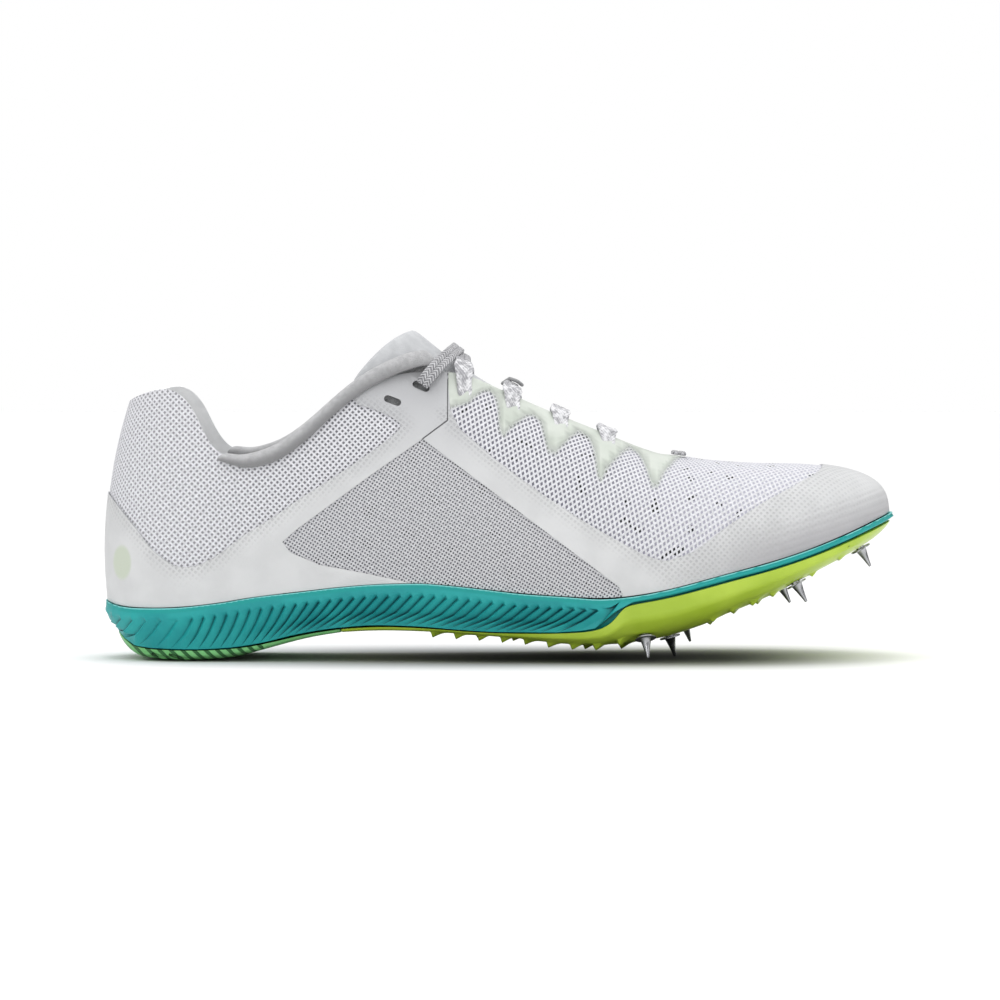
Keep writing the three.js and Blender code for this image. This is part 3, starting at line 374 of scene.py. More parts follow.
def grained(
    name, low, high, roughness, depth=0.00006, fine=1500.0, broad=60.0,
    crease_shade=None, reach=0.002, **shader_values,
):
    """A finish of two close tones with a fine grain, and painted shade in its creases."""
    made, tree, shader = new_material(name, roughness, **shader_values)
    grain = use_group(tree, grain_group, Vector=coordinates(tree), Fine=fine, Broad=broad)
    tone = blend(tree, between(tree, grain.outputs["Tone"], 0.3, 0.7), low, high)
    if crease_shade:
        mask = use_group(tree, crease_group, Reach=reach).outputs["Mask"]
        tone = blend(tree, mask, tone, crease_shade)
    paint(tree, shader, tone)
    bump(tree, shader, grain.outputs["Height"], depth)
    return made


# %% [markdown]
# ### Mesh of the upper
#
# The knit changes from place to place: close rows at the heel, finer ones in the side window, and
# open diagonal holes over the toes. Two slanting lines, one along each saddle strap, tell the three
# places apart, and the straps hide where they meet.

# %% The knit, by place
knit, knit_tree, knit_shader = new_material("knit", 0.85)
place = parts(knit_tree, coordinates(knit_tree))


def beyond(slope, x, z):
    """1 above the slanting line through (x, z), in millimetres."""
    rise = product(knit_tree, maths(knit_tree, "SUBTRACT", place["X"], x * MM), slope)
    height = maths(knit_tree, "SUBTRACT", place["Z"], z * MM)
    return maths(knit_tree, "GREATER_THAN", maths(knit_tree, "SUBTRACT", height, rise), 0.0)


front_line = beyond(-0.731, 91.3, 83.7)
back_line = beyond(0.727, 29, 42.6)
VAMP_STARTS = 0.086
in_front = maths(knit_tree, "GREATER_THAN", place["X"], VAMP_STARTS)
is_vamp = product(knit_tree, front_line, in_front)
is_quarter = product(knit_tree, back_line, inverse(knit_tree, is_vamp))
cloth = coordinates(knit_tree, "UV")
KNITS = {
    "window": {"Pitch": 0.0011, "Turn": 0.9, "Stretch": 1.1, "Size": -0.2},
    "quarter": {"Pitch": 0.00155, "Turn": 1.03, "Size": -0.25},
    "vamp": {"Pitch": 0.00155, "Turn": 0.19, "Stretch": 1.3, "Shear": -0.51, "Size": -0.35},
}
knits = [use_group(knit_tree, holes_group, Vector=cloth, **values) for values in KNITS.values()]


def by_place(output):
    """Takes an output from the knit of the window, of the quarter or of the vamp."""
    found, *others = [made.outputs[output] for made in knits]
    for mask, other in zip((is_quarter, is_vamp), others):
        inputs = {"Factor": mask, "A": found, "B": other}
        found = node(knit_tree, "ShaderNodeMix", inputs=inputs).outputs[0]
    return found


# %% The knit's yarns and holes
hole_mask = by_place("Hole")
patch_inputs = {"Vector": cloth, "Scale": 170.0, "Detail": 0.0}
patches = node(knit_tree, "ShaderNodeTexNoise", inputs=patch_inputs).outputs["Fac"]
open_through = between(knit_tree, patches, 0.70, 0.72)
see_through = product(knit_tree, open_through, inverse(knit_tree, is_quarter))
bright = maths(knit_tree, "MAXIMUM", is_vamp, is_quarter)
threads = use_group(knit_tree, grain_group, Vector=cloth, Fine=900.0, Broad=300.0)
thread_tone = between(knit_tree, threads.outputs["Height"], 0.3, 0.7)
plain_yarn = blend(knit_tree, thread_tone, (0.50, 0.50, 0.52, 1), (0.66, 0.66, 0.68, 1))
bright_yarn = blend(knit_tree, thread_tone, (0.62, 0.62, 0.65, 1), (0.80, 0.80, 0.84, 1))
yarn = blend(knit_tree, bright, plain_yarn, bright_yarn)
# the holes show the shoe's inside, so their colour is painted shade: in the quarter lighter towards the
# heel, in the vamp lighter towards the toe, near black in the see-through patches
quarter_front = between(knit_tree, place["X"], -0.03, 0.07)
quarter_shade = blend(knit_tree, quarter_front, (0.36, 0.36, 0.38, 1), (0.17, 0.17, 0.19, 1))
vamp_front = between(knit_tree, place["X"], 0.13, 0.21)
vamp_shade = blend(knit_tree, vamp_front, (0.18, 0.18, 0.22, 1), (0.48, 0.48, 0.56, 1))
shade = blend(knit_tree, is_quarter, (0.11, 0.11, 0.13, 1), quarter_shade)
shade = blend(knit_tree, is_vamp, shade, vamp_shade)
hole_shade = blend(knit_tree, see_through, shade, (0.02, 0.02, 0.025, 1))
paint(knit_tree, knit_shader, blend(knit_tree, hole_mask, yarn, hole_shade))
bump(knit_tree, knit_shader, by_place("Height"), 0.0004)
print("knit", len(knit_tree.nodes), "nodes")

# %% [markdown]
# ### Film
#
# The welded film is pale and satin. The knit is pressed through it near its windows, with painted
# shade in its dents, fine lines run along the toe's welt with painted shade in their grooves, the toe
# gets painted shade towards the welt, the film is darker higher up, and a pale green oval lies on
# the heel. Straight lines in the side view place these marks. How near the knit lies is read from an
# attribute, which the film piece gets when it is cut.

# %% Film: where its marks lie
film, film_tree, film_shader = new_material("film", 0.5)
film_grain = use_group(film_tree, grain_group, Vector=coordinates(film_tree), Fine=1600.0, Broad=90.0)
film_place = parts(film_tree, coordinates(film_tree))
under_film = use_group(
    film_tree, holes_group, Vector=coordinates(film_tree, "UV"), Pitch=0.0016, Turn=1.03, Size=-0.2
)
dots = product(film_tree, under_film.outputs["Hole"], attribute(film_tree, "near_mesh"))
WELT_X, WELT_Z, WELT_SLOPE, WELT_PITCH = 0.1655, 0.025, 0.293, 0.0026
along_toe = product(film_tree, maths(film_tree, "SUBTRACT", film_place["X"], WELT_X), WELT_SLOPE)
over_toe = maths(film_tree, "SUBTRACT", film_place["Z"], WELT_Z)
over_welt = maths(film_tree, "SUBTRACT", over_toe, along_toe)
# painted shade on the toe, darker towards the welt
low_down = inverse(film_tree, between(film_tree, over_welt, -0.002, 0.014))
toe_shade = product(film_tree, low_down, between(film_tree, film_place["X"], 0.165, 0.22))
welt_wave = maths(film_tree, "SINE", product(film_tree, over_welt, 2 * math.pi / WELT_PITCH))
near_welt = inverse(film_tree, between(film_tree, over_welt, 0.010, 0.013))
far_forward = between(film_tree, film_place["X"], 0.195, 0.215)
welt_lines = product(film_tree, welt_wave, near_welt, far_forward)
high_up = between(film_tree, film_place["Z"], 0.06, 0.10)
OVAL = {"X": (-0.0212, 0.0037), "Z": (0.0353, 0.0064)}  # middle and half size
squares = []
for axis, (middle, half) in OVAL.items():
    share = maths(film_tree, "DIVIDE", maths(film_tree, "SUBTRACT", film_place[axis], middle), half)
    squares.append(maths(film_tree, "POWER", share, 2.0))
in_oval = inverse(film_tree, between(film_tree, maths(film_tree, "ADD", *squares), 0.6, 1.2))
print("film", len(film_tree.nodes), "nodes")

# %% Film: its tones, laid over each other, and its relief
plain_share = between(film_tree, film_grain.outputs["Tone"], 0.3, 0.7)
plain_film = blend(film_tree, plain_share, (0.60, 0.605, 0.61, 1), (0.65, 0.655, 0.66, 1))
paint(film_tree, film_shader, plain_film)
# the toe shade, the darker welt grooves and the darker dents of the knit are painted shade; high up the
# film is just darker
layered(
    film,
    (product(film_tree, toe_shade, 0.75), (0.33, 0.32, 0.34, 1)),
    (maths(film_tree, "MULTIPLY", welt_lines, 0.1, clamp=True), (0.26, 0.26, 0.27, 1)),
    (high_up, (0.49, 0.495, 0.51, 1)),
    (product(film_tree, dots, 0.4), (0.34, 0.34, 0.36, 1)),
    (in_oval, (0.55, 0.60, 0.50, 1)),
)
film_relief = maths(film_tree, "SUBTRACT", product(film_tree, film_grain.outputs["Height"], 0.25), dots)
film_relief = maths(film_tree, "SUBTRACT", film_relief, product(film_tree, welt_lines, 0.25))
bump(film_tree, film_shader, film_relief, 0.0003)

# %% [markdown]
# ### Painted edge shadow, clear film and cloths
#
# Where the film was cut, its edge is darkened by a painted shadow line. The clear film of the lace
# loops has a green cast and thins out towards its edge, so its Alpha reads an attribute that falls to
# nothing there. The cloths have a fine nap. The collar's lining gets painted shade where it turns
# down into the shoe, so its tone follows how far its surface looks up.

# %% Painted edge shadow and clear film
film_edge_shadow = grained("film_edge_shadow", (0.10, 0.10, 0.105, 1), (0.16, 0.16, 0.165, 1), 0.8)
clear_film = grained(
    "clear_film", (0.62, 0.67, 0.60, 1), (0.70, 0.74, 0.68, 1), 0.3, 0.00003, 1800.0, 120.0
)
clear_tree = clear_film.node_tree
clear_share = product(clear_tree, attribute(clear_tree, "film_body"), 0.85)
clear_tree.links.new(clear_share, clear_tree.nodes["Principled BSDF"].inputs["Alpha"])

# %% Cloths
CLOTHS = {  # darker tone, lighter tone, roughness, depth, size of nap and of patches, sheen
    "lining": ((0.25, 0.255, 0.26, 1), (0.36, 0.365, 0.37, 1), 0.95, 0.0005, 2600.0, 500.0, 0.4),
    "collar_cloth": ((0.42, 0.42, 0.43, 1), (0.52, 0.52, 0.53, 1), 0.95, 0.0004, 2600.0, 500.0, 0.4),
    "inner_cloth": ((0.86, 0.865, 0.87, 1), (0.93, 0.935, 0.94, 1), 0.95, 0.0002, 2400.0, 300.0, 0),
    "tongue_cloth": ((0.52, 0.53, 0.545, 1), (0.60, 0.61, 0.625, 1), 0.9, 0.0002, 2400.0, 200.0, 0),
    "footbed": ((0.42, 0.43, 0.45, 1), (0.5, 0.51, 0.53, 1), 0.9, 0.0002, 2400.0, 200.0, 0),
}
lining, collar_cloth, inner_cloth, tongue_cloth, footbed = [
    grained(name, *values, Sheen_Weight=sheen) for name, (*values, sheen) in CLOTHS.items()
]
collar_tree = collar_cloth.node_tree
facing = parts(collar_tree, node(collar_tree, "ShaderNodeNewGeometry").outputs["Normal"])
# painted shade: darker where the collar's surface faces down
painted_underside_shade = inverse(collar_tree, between(collar_tree, facing["Z"], -0.3, 0.7))
layered(collar_cloth, (painted_underside_shade, (0.24, 0.24, 0.245, 1)))
print(len(CLOTHS), "cloths")

# %% [markdown]
# ### Foam, rubber, plate and steel
#
# The foam has a soft sheen, painted shade in the creases between its ribs, and a painted highlight
# along its top edge. The rubber is duller, with slanting grooves round the heel that get painted
# shade. The lime plate is glossy moulded plastic, so it gets a coat, and painted shade in its creases.

# %% Foam
# the dark teal given for the creases is painted shade between the ribs
foam = grained(
    "foam", (0.006, 0.28, 0.29, 1), (0.014, 0.36, 0.355, 1), 0.5, 0.00004, 1800.0, 70.0,
    crease_shade=(0.0, 0.05, 0.06, 1), reach=0.0024, Specular_IOR_Level=0.35,
)
foam_tree = foam.node_tree
rim = attribute(foam_tree, "rim")
# painted highlight: a lighter band below the foam's top edge and a bright line along it
layered(
    foam,
    (between(foam_tree, rim, 0.45, 0.7), (0.006, 0.32, 0.30, 1)),
    (between(foam_tree, rim, 0.86, 0.93), (0.20, 0.62, 0.60, 1)),
)

# %% Plate, steel and rubber
# the dark olive given for the creases is painted shade in the plate's hollows
plate_lime = grained(
    "lime_plate", (0.38, 0.54, 0.025, 1), (0.47, 0.64, 0.05, 1), 0.4, 0.00003, 1200.0, 60.0,
    crease_shade=(0.07, 0.13, 0.005, 1), reach=0.005, Coat_Weight=0.15,
)
steel = grained(
    "spike_steel", (0.36, 0.365, 0.38, 1), (0.46, 0.465, 0.48, 1), 0.22, 0.00002, 2500.0, 300.0,
    Metallic=1.0,
)
rubber = grained("heel_rubber", (0.15, 0.48, 0.15, 1), (0.22, 0.60, 0.22, 1), 0.5, broad=80.0)
rubber_tree = rubber.node_tree
GROOVE_PITCH = 0.0042
GROOVED_TO = 0.03  # x, in metres
rubber_place = parts(rubber_tree, coordinates(rubber_tree))
slant = maths(rubber_tree, "ADD", rubber_place["X"], rubber_place["Z"])
groove_wave = maths(rubber_tree, "SINE", product(rubber_tree, slant, 2 * math.pi / GROOVE_PITCH))
at_heel = maths(rubber_tree, "LESS_THAN", rubber_place["X"], GROOVED_TO)
# the grooves are sunk by the bump and darkened with painted shade
groove = product(rubber_tree, between(rubber_tree, groove_wave, 0.1, 0.5), at_heel)
layered(rubber, (groove, (0.02, 0.13, 0.03, 1)))
bump(rubber_tree, rubber_tree.nodes["Principled BSDF"], inverse(rubber_tree, groove), 0.0008)
print("foam", len(foam_tree.nodes), "and rubber", len(rubber_tree.nodes), "nodes")

# %% [markdown]
# ### Floor
#
# The sheet is nearly white. Below the shoe a soft grey patch keeps the lime and teal of the sole from
# tinting it, and makes the contact shadow as dark as a photo shows it.

# %% Pale floor with a contact shade
SHADE_ASIDE = 0.095  # how far to each side the shade reaches, in metres
SHADE_ENDS = ((-0.05, 0.12), (0.27, 0.19))  # x of no shade and of full shade, at heel and toe
pale = grained("pale_floor", (0.92, 0.92, 0.92, 1), (0.94, 0.94, 0.94, 1), 0.9, 0.0, 200.0, 4.0)
pale_tree = pale.node_tree
spot = parts(pale_tree, coordinates(pale_tree))
aside = maths(pale_tree, "ABSOLUTE", spot["Y"])
covered = inverse(pale_tree, between(pale_tree, aside, 0.005, SHADE_ASIDE))
for none_at, full_at in SHADE_ENDS:
    covered = product(pale_tree, covered, between(pale_tree, spot["X"], none_at, full_at))
layered(pale, (covered, (0.045, 0.045, 0.05, 1)))
floor.data.materials.append(pale)
print("shade", round((SHADE_ENDS[1][0] - SHADE_ENDS[0][0]) * 1000), "mm long")

# %% [markdown]
# ### Woven bands
#
# Lace and loops are woven in chevrons: yarns that slant towards the band's middle from both sides.
# The distance from the middle line bends a sine into that pattern.


# %% Woven lace and loops
def woven(name, low, high, pitch, depth, middle, yarns, patchy):
    """Chevrons of yarn along a band, from its flat layout in metres, with patches of shade."""
    made, tree, shader = new_material(name, 0.85)
    shader.inputs["Sheen Weight"].default_value = 0.3
    flat = parts(tree, coordinates(tree, "UV"))
    aside = maths(tree, "ABSOLUTE", maths(tree, "SUBTRACT", flat["X"], middle))
    along = maths(tree, "ADD", flat["Y"], product(tree, aside, 1.2))
    chevron = maths(tree, "SINE", product(tree, along, 2 * math.pi / pitch))
    weave = maths(tree, "ADD", product(tree, chevron, yarns), 0.5)
    fuzz = use_group(tree, grain_group, Vector=coordinates(tree), Fine=2600.0, Broad=500.0)
    patch = between(tree, fuzz.outputs["Tone"], 0.35, 0.65)
    height = maths(tree, "ADD", weave, product(tree, fuzz.outputs["Height"], 0.5))
    light = maths(tree, "ADD", height, product(tree, patch, patchy))
    paint(tree, shader, blend(tree, between(tree, light, 0.5, 1.0 + patchy), low, high))
    bump(tree, shader, height, depth)
    return made


braid = woven(
    "lace_braid", (0.15, 0.15, 0.16, 1), (0.60, 0.60, 0.62, 1), 0.0015, 0.0004, 0.0013, 0.25, 0.15
)
webbing_white = woven(
    "loop_webbing", (0.26, 0.26, 0.28, 1), (0.90, 0.90, 0.92, 1), 0.0018, 0.0005, 0.0027, 0.1, 0.5
)
print(len(bpy.data.materials), "materials")

# %% [markdown]
# ## From a faceted solid to a smooth piece
#
# A CAD solid arrives as loose triangles. A working copy is joined at its corners, its triangles are
# paired into quads, and a subdivision surface then rounds it. Sharp edges get a crease first, so
# that they stay where the solid has them.


# %% Working copies
def working_copy(name_of_node, name):
    """A copy of a solid with its corners joined and its triangles paired."""
    made = bpy.data.objects.new(name, nodes[name_of_node].data.copy())
    bpy.context.scene.collection.objects.link(made)
    made.data.materials.clear()
    in_edit_mode(
        made,
        lambda: bpy.ops.mesh.remove_doubles(threshold=0.02 * MM),
        lambda: bpy.ops.mesh.normals_make_consistent(inside=False),
        lambda: bpy.ops.mesh.tris_convert_to_quads(face_threshold=0.9, shape_threshold=0.9),
    )
    return made


def crease_sharp(piece, degrees, crease):
    """Edges sharper than an angle keep their line when the piece is subdivided."""
    only(piece)
    bpy.ops.object.mode_set(mode="EDIT")
    bpy.ops.mesh.select_mode(type="EDGE")
    bpy.ops.mesh.select_all(action="DESELECT")
    bpy.ops.mesh.edges_select_sharp(sharpness=math.radians(degrees))
    bpy.ops.transform.edge_crease(value=crease)
    bpy.ops.mesh.select_mode(type="FACE")
    bpy.ops.object.mode_set(mode="OBJECT")


def apply_modifier(piece, kind, **settings):
    """Adds a modifier, sets it and applies it."""
    only(piece)
    made = piece.modifiers.new("step", kind)
    for key, value in settings.items():
        setattr(made, key, value)
    bpy.ops.object.modifier_apply(modifier=made.name)


def rounded(piece, levels):
    apply_modifier(piece, "SUBSURF", levels=levels, render_levels=levels)


def soft_edges(piece, width):
    limit = {"limit_method": "ANGLE", "angle_limit": math.radians(50)}
    apply_modifier(piece, "BEVEL", width=width, segments=2, use_clamp_overlap=True, **limit)


def point_attribute(piece, name, value_at):
    """Gives each vertex a number that is worked out from its place."""
    made = piece.data.attributes.new(name, "FLOAT", "POINT")
    for vertex in piece.data.vertices:
        made.data[vertex.index].value = value_at(vertex.co)


def finish_piece(piece, material, slot, *replaced, smooth=45):
    """Shades a piece, gives it its finish, hangs it under the root body and hides the solids it stands for.
    """
    only(piece)
    bpy.ops.object.shade_smooth_by_angle(angle=math.radians(smooth))
    if not piece.data.materials:
        piece.data.materials.append(material)
    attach(piece, "root")
    if replaced:
        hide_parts(*replaced)
    print(piece.name, len(piece.data.polygons), "faces")


# %% [markdown]
# ## The upper
#
# The real upper is one sock of mesh. The outer skin of the CAD wall is lifted off, healed where the
# lace slots were cut, rounded, and laid flat with a cut up the heel, as a pattern cutter would. The
# flat layout is scaled to metres, so every knit keeps its true size. Then the skin gets its wall.

# %% Lift off the outer skin
WALL = 1.8 * MM
HEEL_TURN = 4 * MM
TOE_TURN = 213 * MM


def outward_from_foot(point):
    """Direction from the middle of the foot to a point of the wall."""
    x = min(max(point.x, HEEL_TURN), TOE_TURN)
    height = 45 * MM + max(0, x - 120 * MM) * 0.12
    return (point - Vector((x, 1 * MM, height))).normalized()


def is_outer_skin(mesh, face):
    outward = outward_from_foot(face.center)
    across = 0
    for a, b in face.edge_keys:
        edge = mesh.vertices[b].co - mesh.vertices[a].co
        if 1.2 * MM < edge.length < 2.8 * MM and abs(edge.normalized().dot(outward)) > 0.55:
            across += 1
    return across < 2 and face.normal.dot(outward) > 0


skin = working_copy("upper", "upper")
only(skin)
bpy.ops.object.mode_set(mode="EDIT")
bpy.ops.mesh.select_mode(type="FACE")
bpy.ops.mesh.select_all(action="DESELECT")
bpy.ops.object.mode_set(mode="OBJECT")
for face in skin.data.polygons:
    face.select = not is_outer_skin(skin.data, face)
bpy.ops.object.mode_set(mode="EDIT")
bpy.ops.mesh.delete(type="FACE")
bpy.ops.object.mode_set(mode="OBJECT")
print("outer skin", len(skin.data.polygons), "faces")

# %% Heal the lace slots and round the skin
SLOTS = [(86.2, 98.5, -0.41), (76.1, 93.4, -0.35)]  # x, z and tilt of each slot


def near_slot(point, reach):
    return any(math.hypot(point.x - x * MM, point.z - z * MM) < reach * MM for x, z, _ in SLOTS)


def select_where(piece, test, kind="VERT"):
    """Selects the vertices or faces that pass a test on their place, and leaves edit mode open."""
    only(piece)
    bpy.ops.object.mode_set(mode="EDIT")
    bpy.ops.mesh.select_mode(type=kind)
    bpy.ops.mesh.select_all(action="DESELECT")
    bpy.ops.object.mode_set(mode="OBJECT")
    items = piece.data.vertices if kind == "VERT" else piece.data.polygons
    for item in items:
        item.select = test(item.co if kind == "VERT" else item)
    bpy.ops.object.mode_set(mode="EDIT")


for side in (-1, 1):
    for x, z, _ in SLOTS:
        select_where(
            skin,
            lambda co: co.y * side > 0 and math.hypot(co.x - x * MM, co.z - z * MM) < 3.8 * MM,
        )
        bpy.ops.mesh.edge_face_add()
        bpy.ops.object.mode_set(mode="OBJECT")
select_where(
    skin,
    lambda face: any(near_slot(skin.data.vertices[i].co, 3.8) for i in face.vertices),
    "FACE",
)
bpy.ops.mesh.dissolve_faces(use_verts=True)
bpy.ops.object.mode_set(mode="OBJECT")
rounded(skin, 2)
only(skin)
bpy.ops.object.shade_smooth()
print("rounded skin", len(skin.data.polygons), "faces")

# %% Lay the skin flat, with a cut up the heel
only(skin)
bpy.ops.object.mode_set(mode="EDIT")
bpy.ops.mesh.select_mode(type="EDGE")
bpy.ops.mesh.select_all(action="DESELECT")
bpy.ops.object.mode_set(mode="OBJECT")
for edge in skin.data.edges:
    ends = [skin.data.vertices[i].co for i in edge.vertices]
    edge.select = all(abs(end.y) < 0.05 * MM and end.x < -15 * MM for end in ends)
bpy.ops.object.mode_set(mode="EDIT")
bpy.ops.mesh.mark_seam(clear=False)
bpy.ops.mesh.select_mode(type="FACE")
bpy.ops.mesh.select_all(action="SELECT")
bpy.ops.uv.unwrap(method="ANGLE_BASED", margin=0.0)
bpy.ops.object.mode_set(mode="OBJECT")


def flat_to_metres(piece, reference):
    """Scales a piece's flat layout to metres, and turns it so that +X runs along U at a point."""
    mesh = piece.data
    flat = mesh.uv_layers.active.data

    def edge(pair):
        """The edge between two corners, in space."""
        start, end = [mesh.vertices[mesh.loops[i].vertex_index].co for i in pair]
        return end - start

    def edges_of(face):
        corners = list(face.loop_indices)
        return list(zip(corners, corners[1:]))

    pairs = [pair for face in mesh.polygons for pair in edges_of(face)]
    real = sum(edge(pair).length for pair in pairs)
    laid = sum((flat[b].uv - flat[a].uv).length for a, b in pairs)
    scale = real / laid
    nearest = min(mesh.polygons, key=lambda face: (face.center - Vector(reference)).length)
    along = max(edges_of(nearest), key=lambda pair: abs(edge(pair).normalized().x))
    step = flat[along[1]].uv - flat[along[0]].uv
    if edge(along).x < 0:
        step = -step
    turn = -math.atan2(step.y, step.x)
    cos, sin = math.cos(turn), math.sin(turn)
    for corner in flat:
        u, v = corner.uv * scale
        corner.uv = (u * cos - v * sin, u * sin + v * cos)
    return scale


unit = flat_to_metres(skin, (60 * MM, -32 * MM, 50 * MM))
print("one unit of the flat layout is", round(unit, 4), "m")


# %% A copy of the skin, standing off it
def skin_layer(name, stand_off, thickness):
    made = skin.copy()
    made.data = skin.data.copy()
    made.name = name
    bpy.context.scene.collection.objects.link(made)
    if stand_off:
        apply_modifier(made, "DISPLACE", strength=stand_off, mid_level=0.0)
    apply_modifier(made, "SOLIDIFY", thickness=abs(thickness), offset=math.copysign(1, thickness))
    return made


# %% [markdown]
# ### Cutters drawn in the side view
#
# The windows of the film are die cut, so their outlines are drawn as they look from the side. A
# ring of points is placed on the outline, its edges are divided and smoothed to take the corners
# off, and the ring is filled and extruded across the shoe.


# %% A cutter from a side outline
def side_cutter(name, outline, low=-70, high=70, smoothing=3):
    bpy.ops.object.select_all(action="DESELECT")
    bpy.ops.mesh.primitive_circle_add(vertices=len(outline), radius=0.01, fill_type="NOTHING")
    cutter = bpy.context.object
    cutter.name = name
    for vertex, (x, z) in zip(cutter.data.vertices, outline):
        vertex.co = (x * MM, low * MM, z * MM)
    in_edit_mode(
        cutter,
        lambda: bpy.ops.mesh.subdivide(number_cuts=3),
        lambda: smoothing and bpy.ops.mesh.vertices_smooth(factor=0.5, repeat=smoothing),
        lambda: bpy.ops.mesh.edge_face_add(),
        lambda: bpy.ops.mesh.extrude_region_move(
            TRANSFORM_OT_translate={"value": (0, (high - low) * MM, 0)}
        ),
        lambda: bpy.ops.mesh.select_all(action="SELECT"),
        lambda: bpy.ops.mesh.normals_make_consistent(inside=False),
    )
    return cutter


def cut(piece, cutter, operation="DIFFERENCE"):
    apply_modifier(piece, "BOOLEAN", object=cutter, operation=operation, solver="EXACT")


def slot_outline(x, z, tilt, half_length=3.2, half_width=1.3):
    points = []
    for i in range(12):
        turn = (i + 0.5) * math.pi / 6
        a = math.copysign(half_length - half_width, math.cos(turn)) + half_width * math.cos(turn)
        b = half_width * math.sin(turn)
        across = a * math.cos(tilt) - b * math.sin(tilt)
        points.append((x + across, z + a * math.sin(tilt) + b * math.cos(tilt)))
    return points


def joined(name, pieces):
    bpy.ops.object.select_all(action="DESELECT")
    for piece in pieces:
        piece.select_set(True)
    bpy.context.view_layer.objects.active = pieces[0]
    bpy.ops.object.join()
    pieces[0].name = name
    return pieces[0]


def drop(*pieces):
    for piece in pieces:
        bpy.data.objects.remove(piece)


QUARTER = [
    (-40, 65), (-29.2, 61.9), (-20.9, 53.5), (-13.6, 45.1), (-9.6, 39.7), (-1.2, 33.9), (6.5, 34.2),
    (14.5, 38.6), (23.6, 45.9), (31.9, 50.6), (45, 59.7), (59.6, 68.8), (74.9, 79.7), (80, 84.5),
    (74.9, 88.1), (67.3, 91), (63.2, 91.7), (60.7, 97.2), (60, 127), (-40, 127),
]
WINDOW = [
    (86.9, 79.7), (68.7, 67), (53.1, 55.6), (41.8, 47.3), (37, 43), (39.8, 39.3), (50, 34.9), (65.8, 32),
    (79.6, 29.1), (92.7, 26), (120, 21), (150, 16), (156, 19), (158, 24.5), (156.5, 27.5), (151, 31.7),
]
VAMP = [
    (95.6, 87.4), (113.5, 71.8), (131.7, 58.6), (144.8, 50.2), (164.4, 39.2), (172.8, 36.4), (183, 39.7),
    (195, 48.8), (207.4, 56.8), (219.8, 63), (230, 68.1), (236.5, 74.5), (236.5, 147), (95.6, 147),
]
SEAM = [(95.55, 101), (95.55, 86.5), (86.7, 79.9), (86.95, 79.5), (95.95, 86.2), (95.95, 101)]

# %% The film with its windows
film_piece = skin_layer("film_overlay_cut", 0.12 * MM, 0.45 * MM)
film_piece.data.materials.clear()
film_piece.data.materials.append(film)
cutters = {
    "quarter": side_cutter("quarter", QUARTER, smoothing=2),
    "window": side_cutter("window", WINDOW, smoothing=0),
    "vamp": side_cutter("vamp", VAMP, smoothing=1),
    "seam_shadow": side_cutter("seam_shadow", SEAM, smoothing=0),
}
# the cut faces of the window and of the seam get the painted edge shadow
for name in ("window", "seam_shadow"):
    cutters[name].data.materials.append(film_edge_shadow)
slot_cutters = [side_cutter("slot", slot_outline(*row), smoothing=1) for row in SLOTS]
for cutter in [*cutters.values(), *slot_cutters]:
    cut(film_piece, cutter)
soft_edges(film_piece, 0.16 * MM)

# %% How far the knit shows through the film
EMBOSSED = 6.0  # how far under the film the knit still shows, in mm
EMBOSSED_TOE = 26.0  # the same over the toe


def distance_to_outline(outline, point):
    """Distance in the side view from a point to an outline, in mm."""
    x, z = point.x / MM, point.z / MM
    best = 1e9
    for (ax, az), (bx, bz) in zip(outline, outline[1:]):
        dx, dz = bx - ax, bz - az
        share = min(max(((x - ax) * dx + (z - az) * dz) / (dx * dx + dz * dz), 0), 1)
        best = min(best, math.hypot(x - ax - share * dx, z - az - share * dz))
    return best


def nearness(point):
    """1 where the film's cut edge meets the knit, falling to 0 away from it."""
    toe_share = min(max((point.x / MM - 165) / 20, 0), 1)
    reach = EMBOSSED + (EMBOSSED_TOE - EMBOSSED) * toe_share
    away = min(distance_to_outline(QUARTER, point), distance_to_outline(VAMP, point))
    return max(0.0, 1 - away / reach) ** 1.5


point_attribute(film_piece, "near_mesh", nearness)
finish_piece(film_piece, film, "film", "film_overlay", smooth=40)

# %% [markdown]
# ### The clear film with its fins
#
# Along the throat lies a clear greenish film that carries the lace loops. Below each loop it runs
# out in a fin, steep towards the heel and drawn out towards the toe.

# %% Fins
FINS = [
    (95.9, 89.6), (98.5, 90.6), (103.7, 92.1), (107.2, 95.4), (109.8, 96.8), (112.3, 95), (113.3, 89.9),
    (113.6, 81.5), (116, 79.7), (118.9, 83.4), (125.4, 88.1), (128.4, 85.9), (130.2, 79), (131.3, 74.5),
    (133.8, 72.8), (137.1, 76.8), (142.6, 81.9), (146.2, 79.7), (147.8, 74.6), (148.7, 66.2), (150.6, 63.3),
    (153.5, 69.2), (160.8, 76.1), (164.4, 73.5), (166.4, 68.8), (168.2, 62.2), (169.9, 60.1), (173.5, 67),
    (178.2, 71.7), (184, 74), (184, 127), (95.9, 147),
]
FADE = 2.5  # over which the clear film thins out, in mm
fins = skin_layer("fins", 0.14 * MM, 0.4 * MM)
fin_cutter = side_cutter("fin_outline", FINS, smoothing=1)
cut(fins, fin_cutter, "INTERSECT")
fins.data.materials.clear()
soft_edges(fins, 0.1 * MM)
point_attribute(fins, "film_body", lambda point: min(1, distance_to_outline(FINS, point) / FADE))
finish_piece(fins, clear_film, "fin", "lace_loops_lateral", "lace_loops_medial", smooth=40)

# %% [markdown]
# ### The seam, the wall and what lies behind the slots
#
# A thin dark sheet paints the shadow line where the eyestay's film meets the strap. The upper
# itself is a wall of knit, with a smooth cloth on its inner faces. Behind each lace slot lies a sheet
# of dark lining cloth, painted shade that makes the slots look deep.

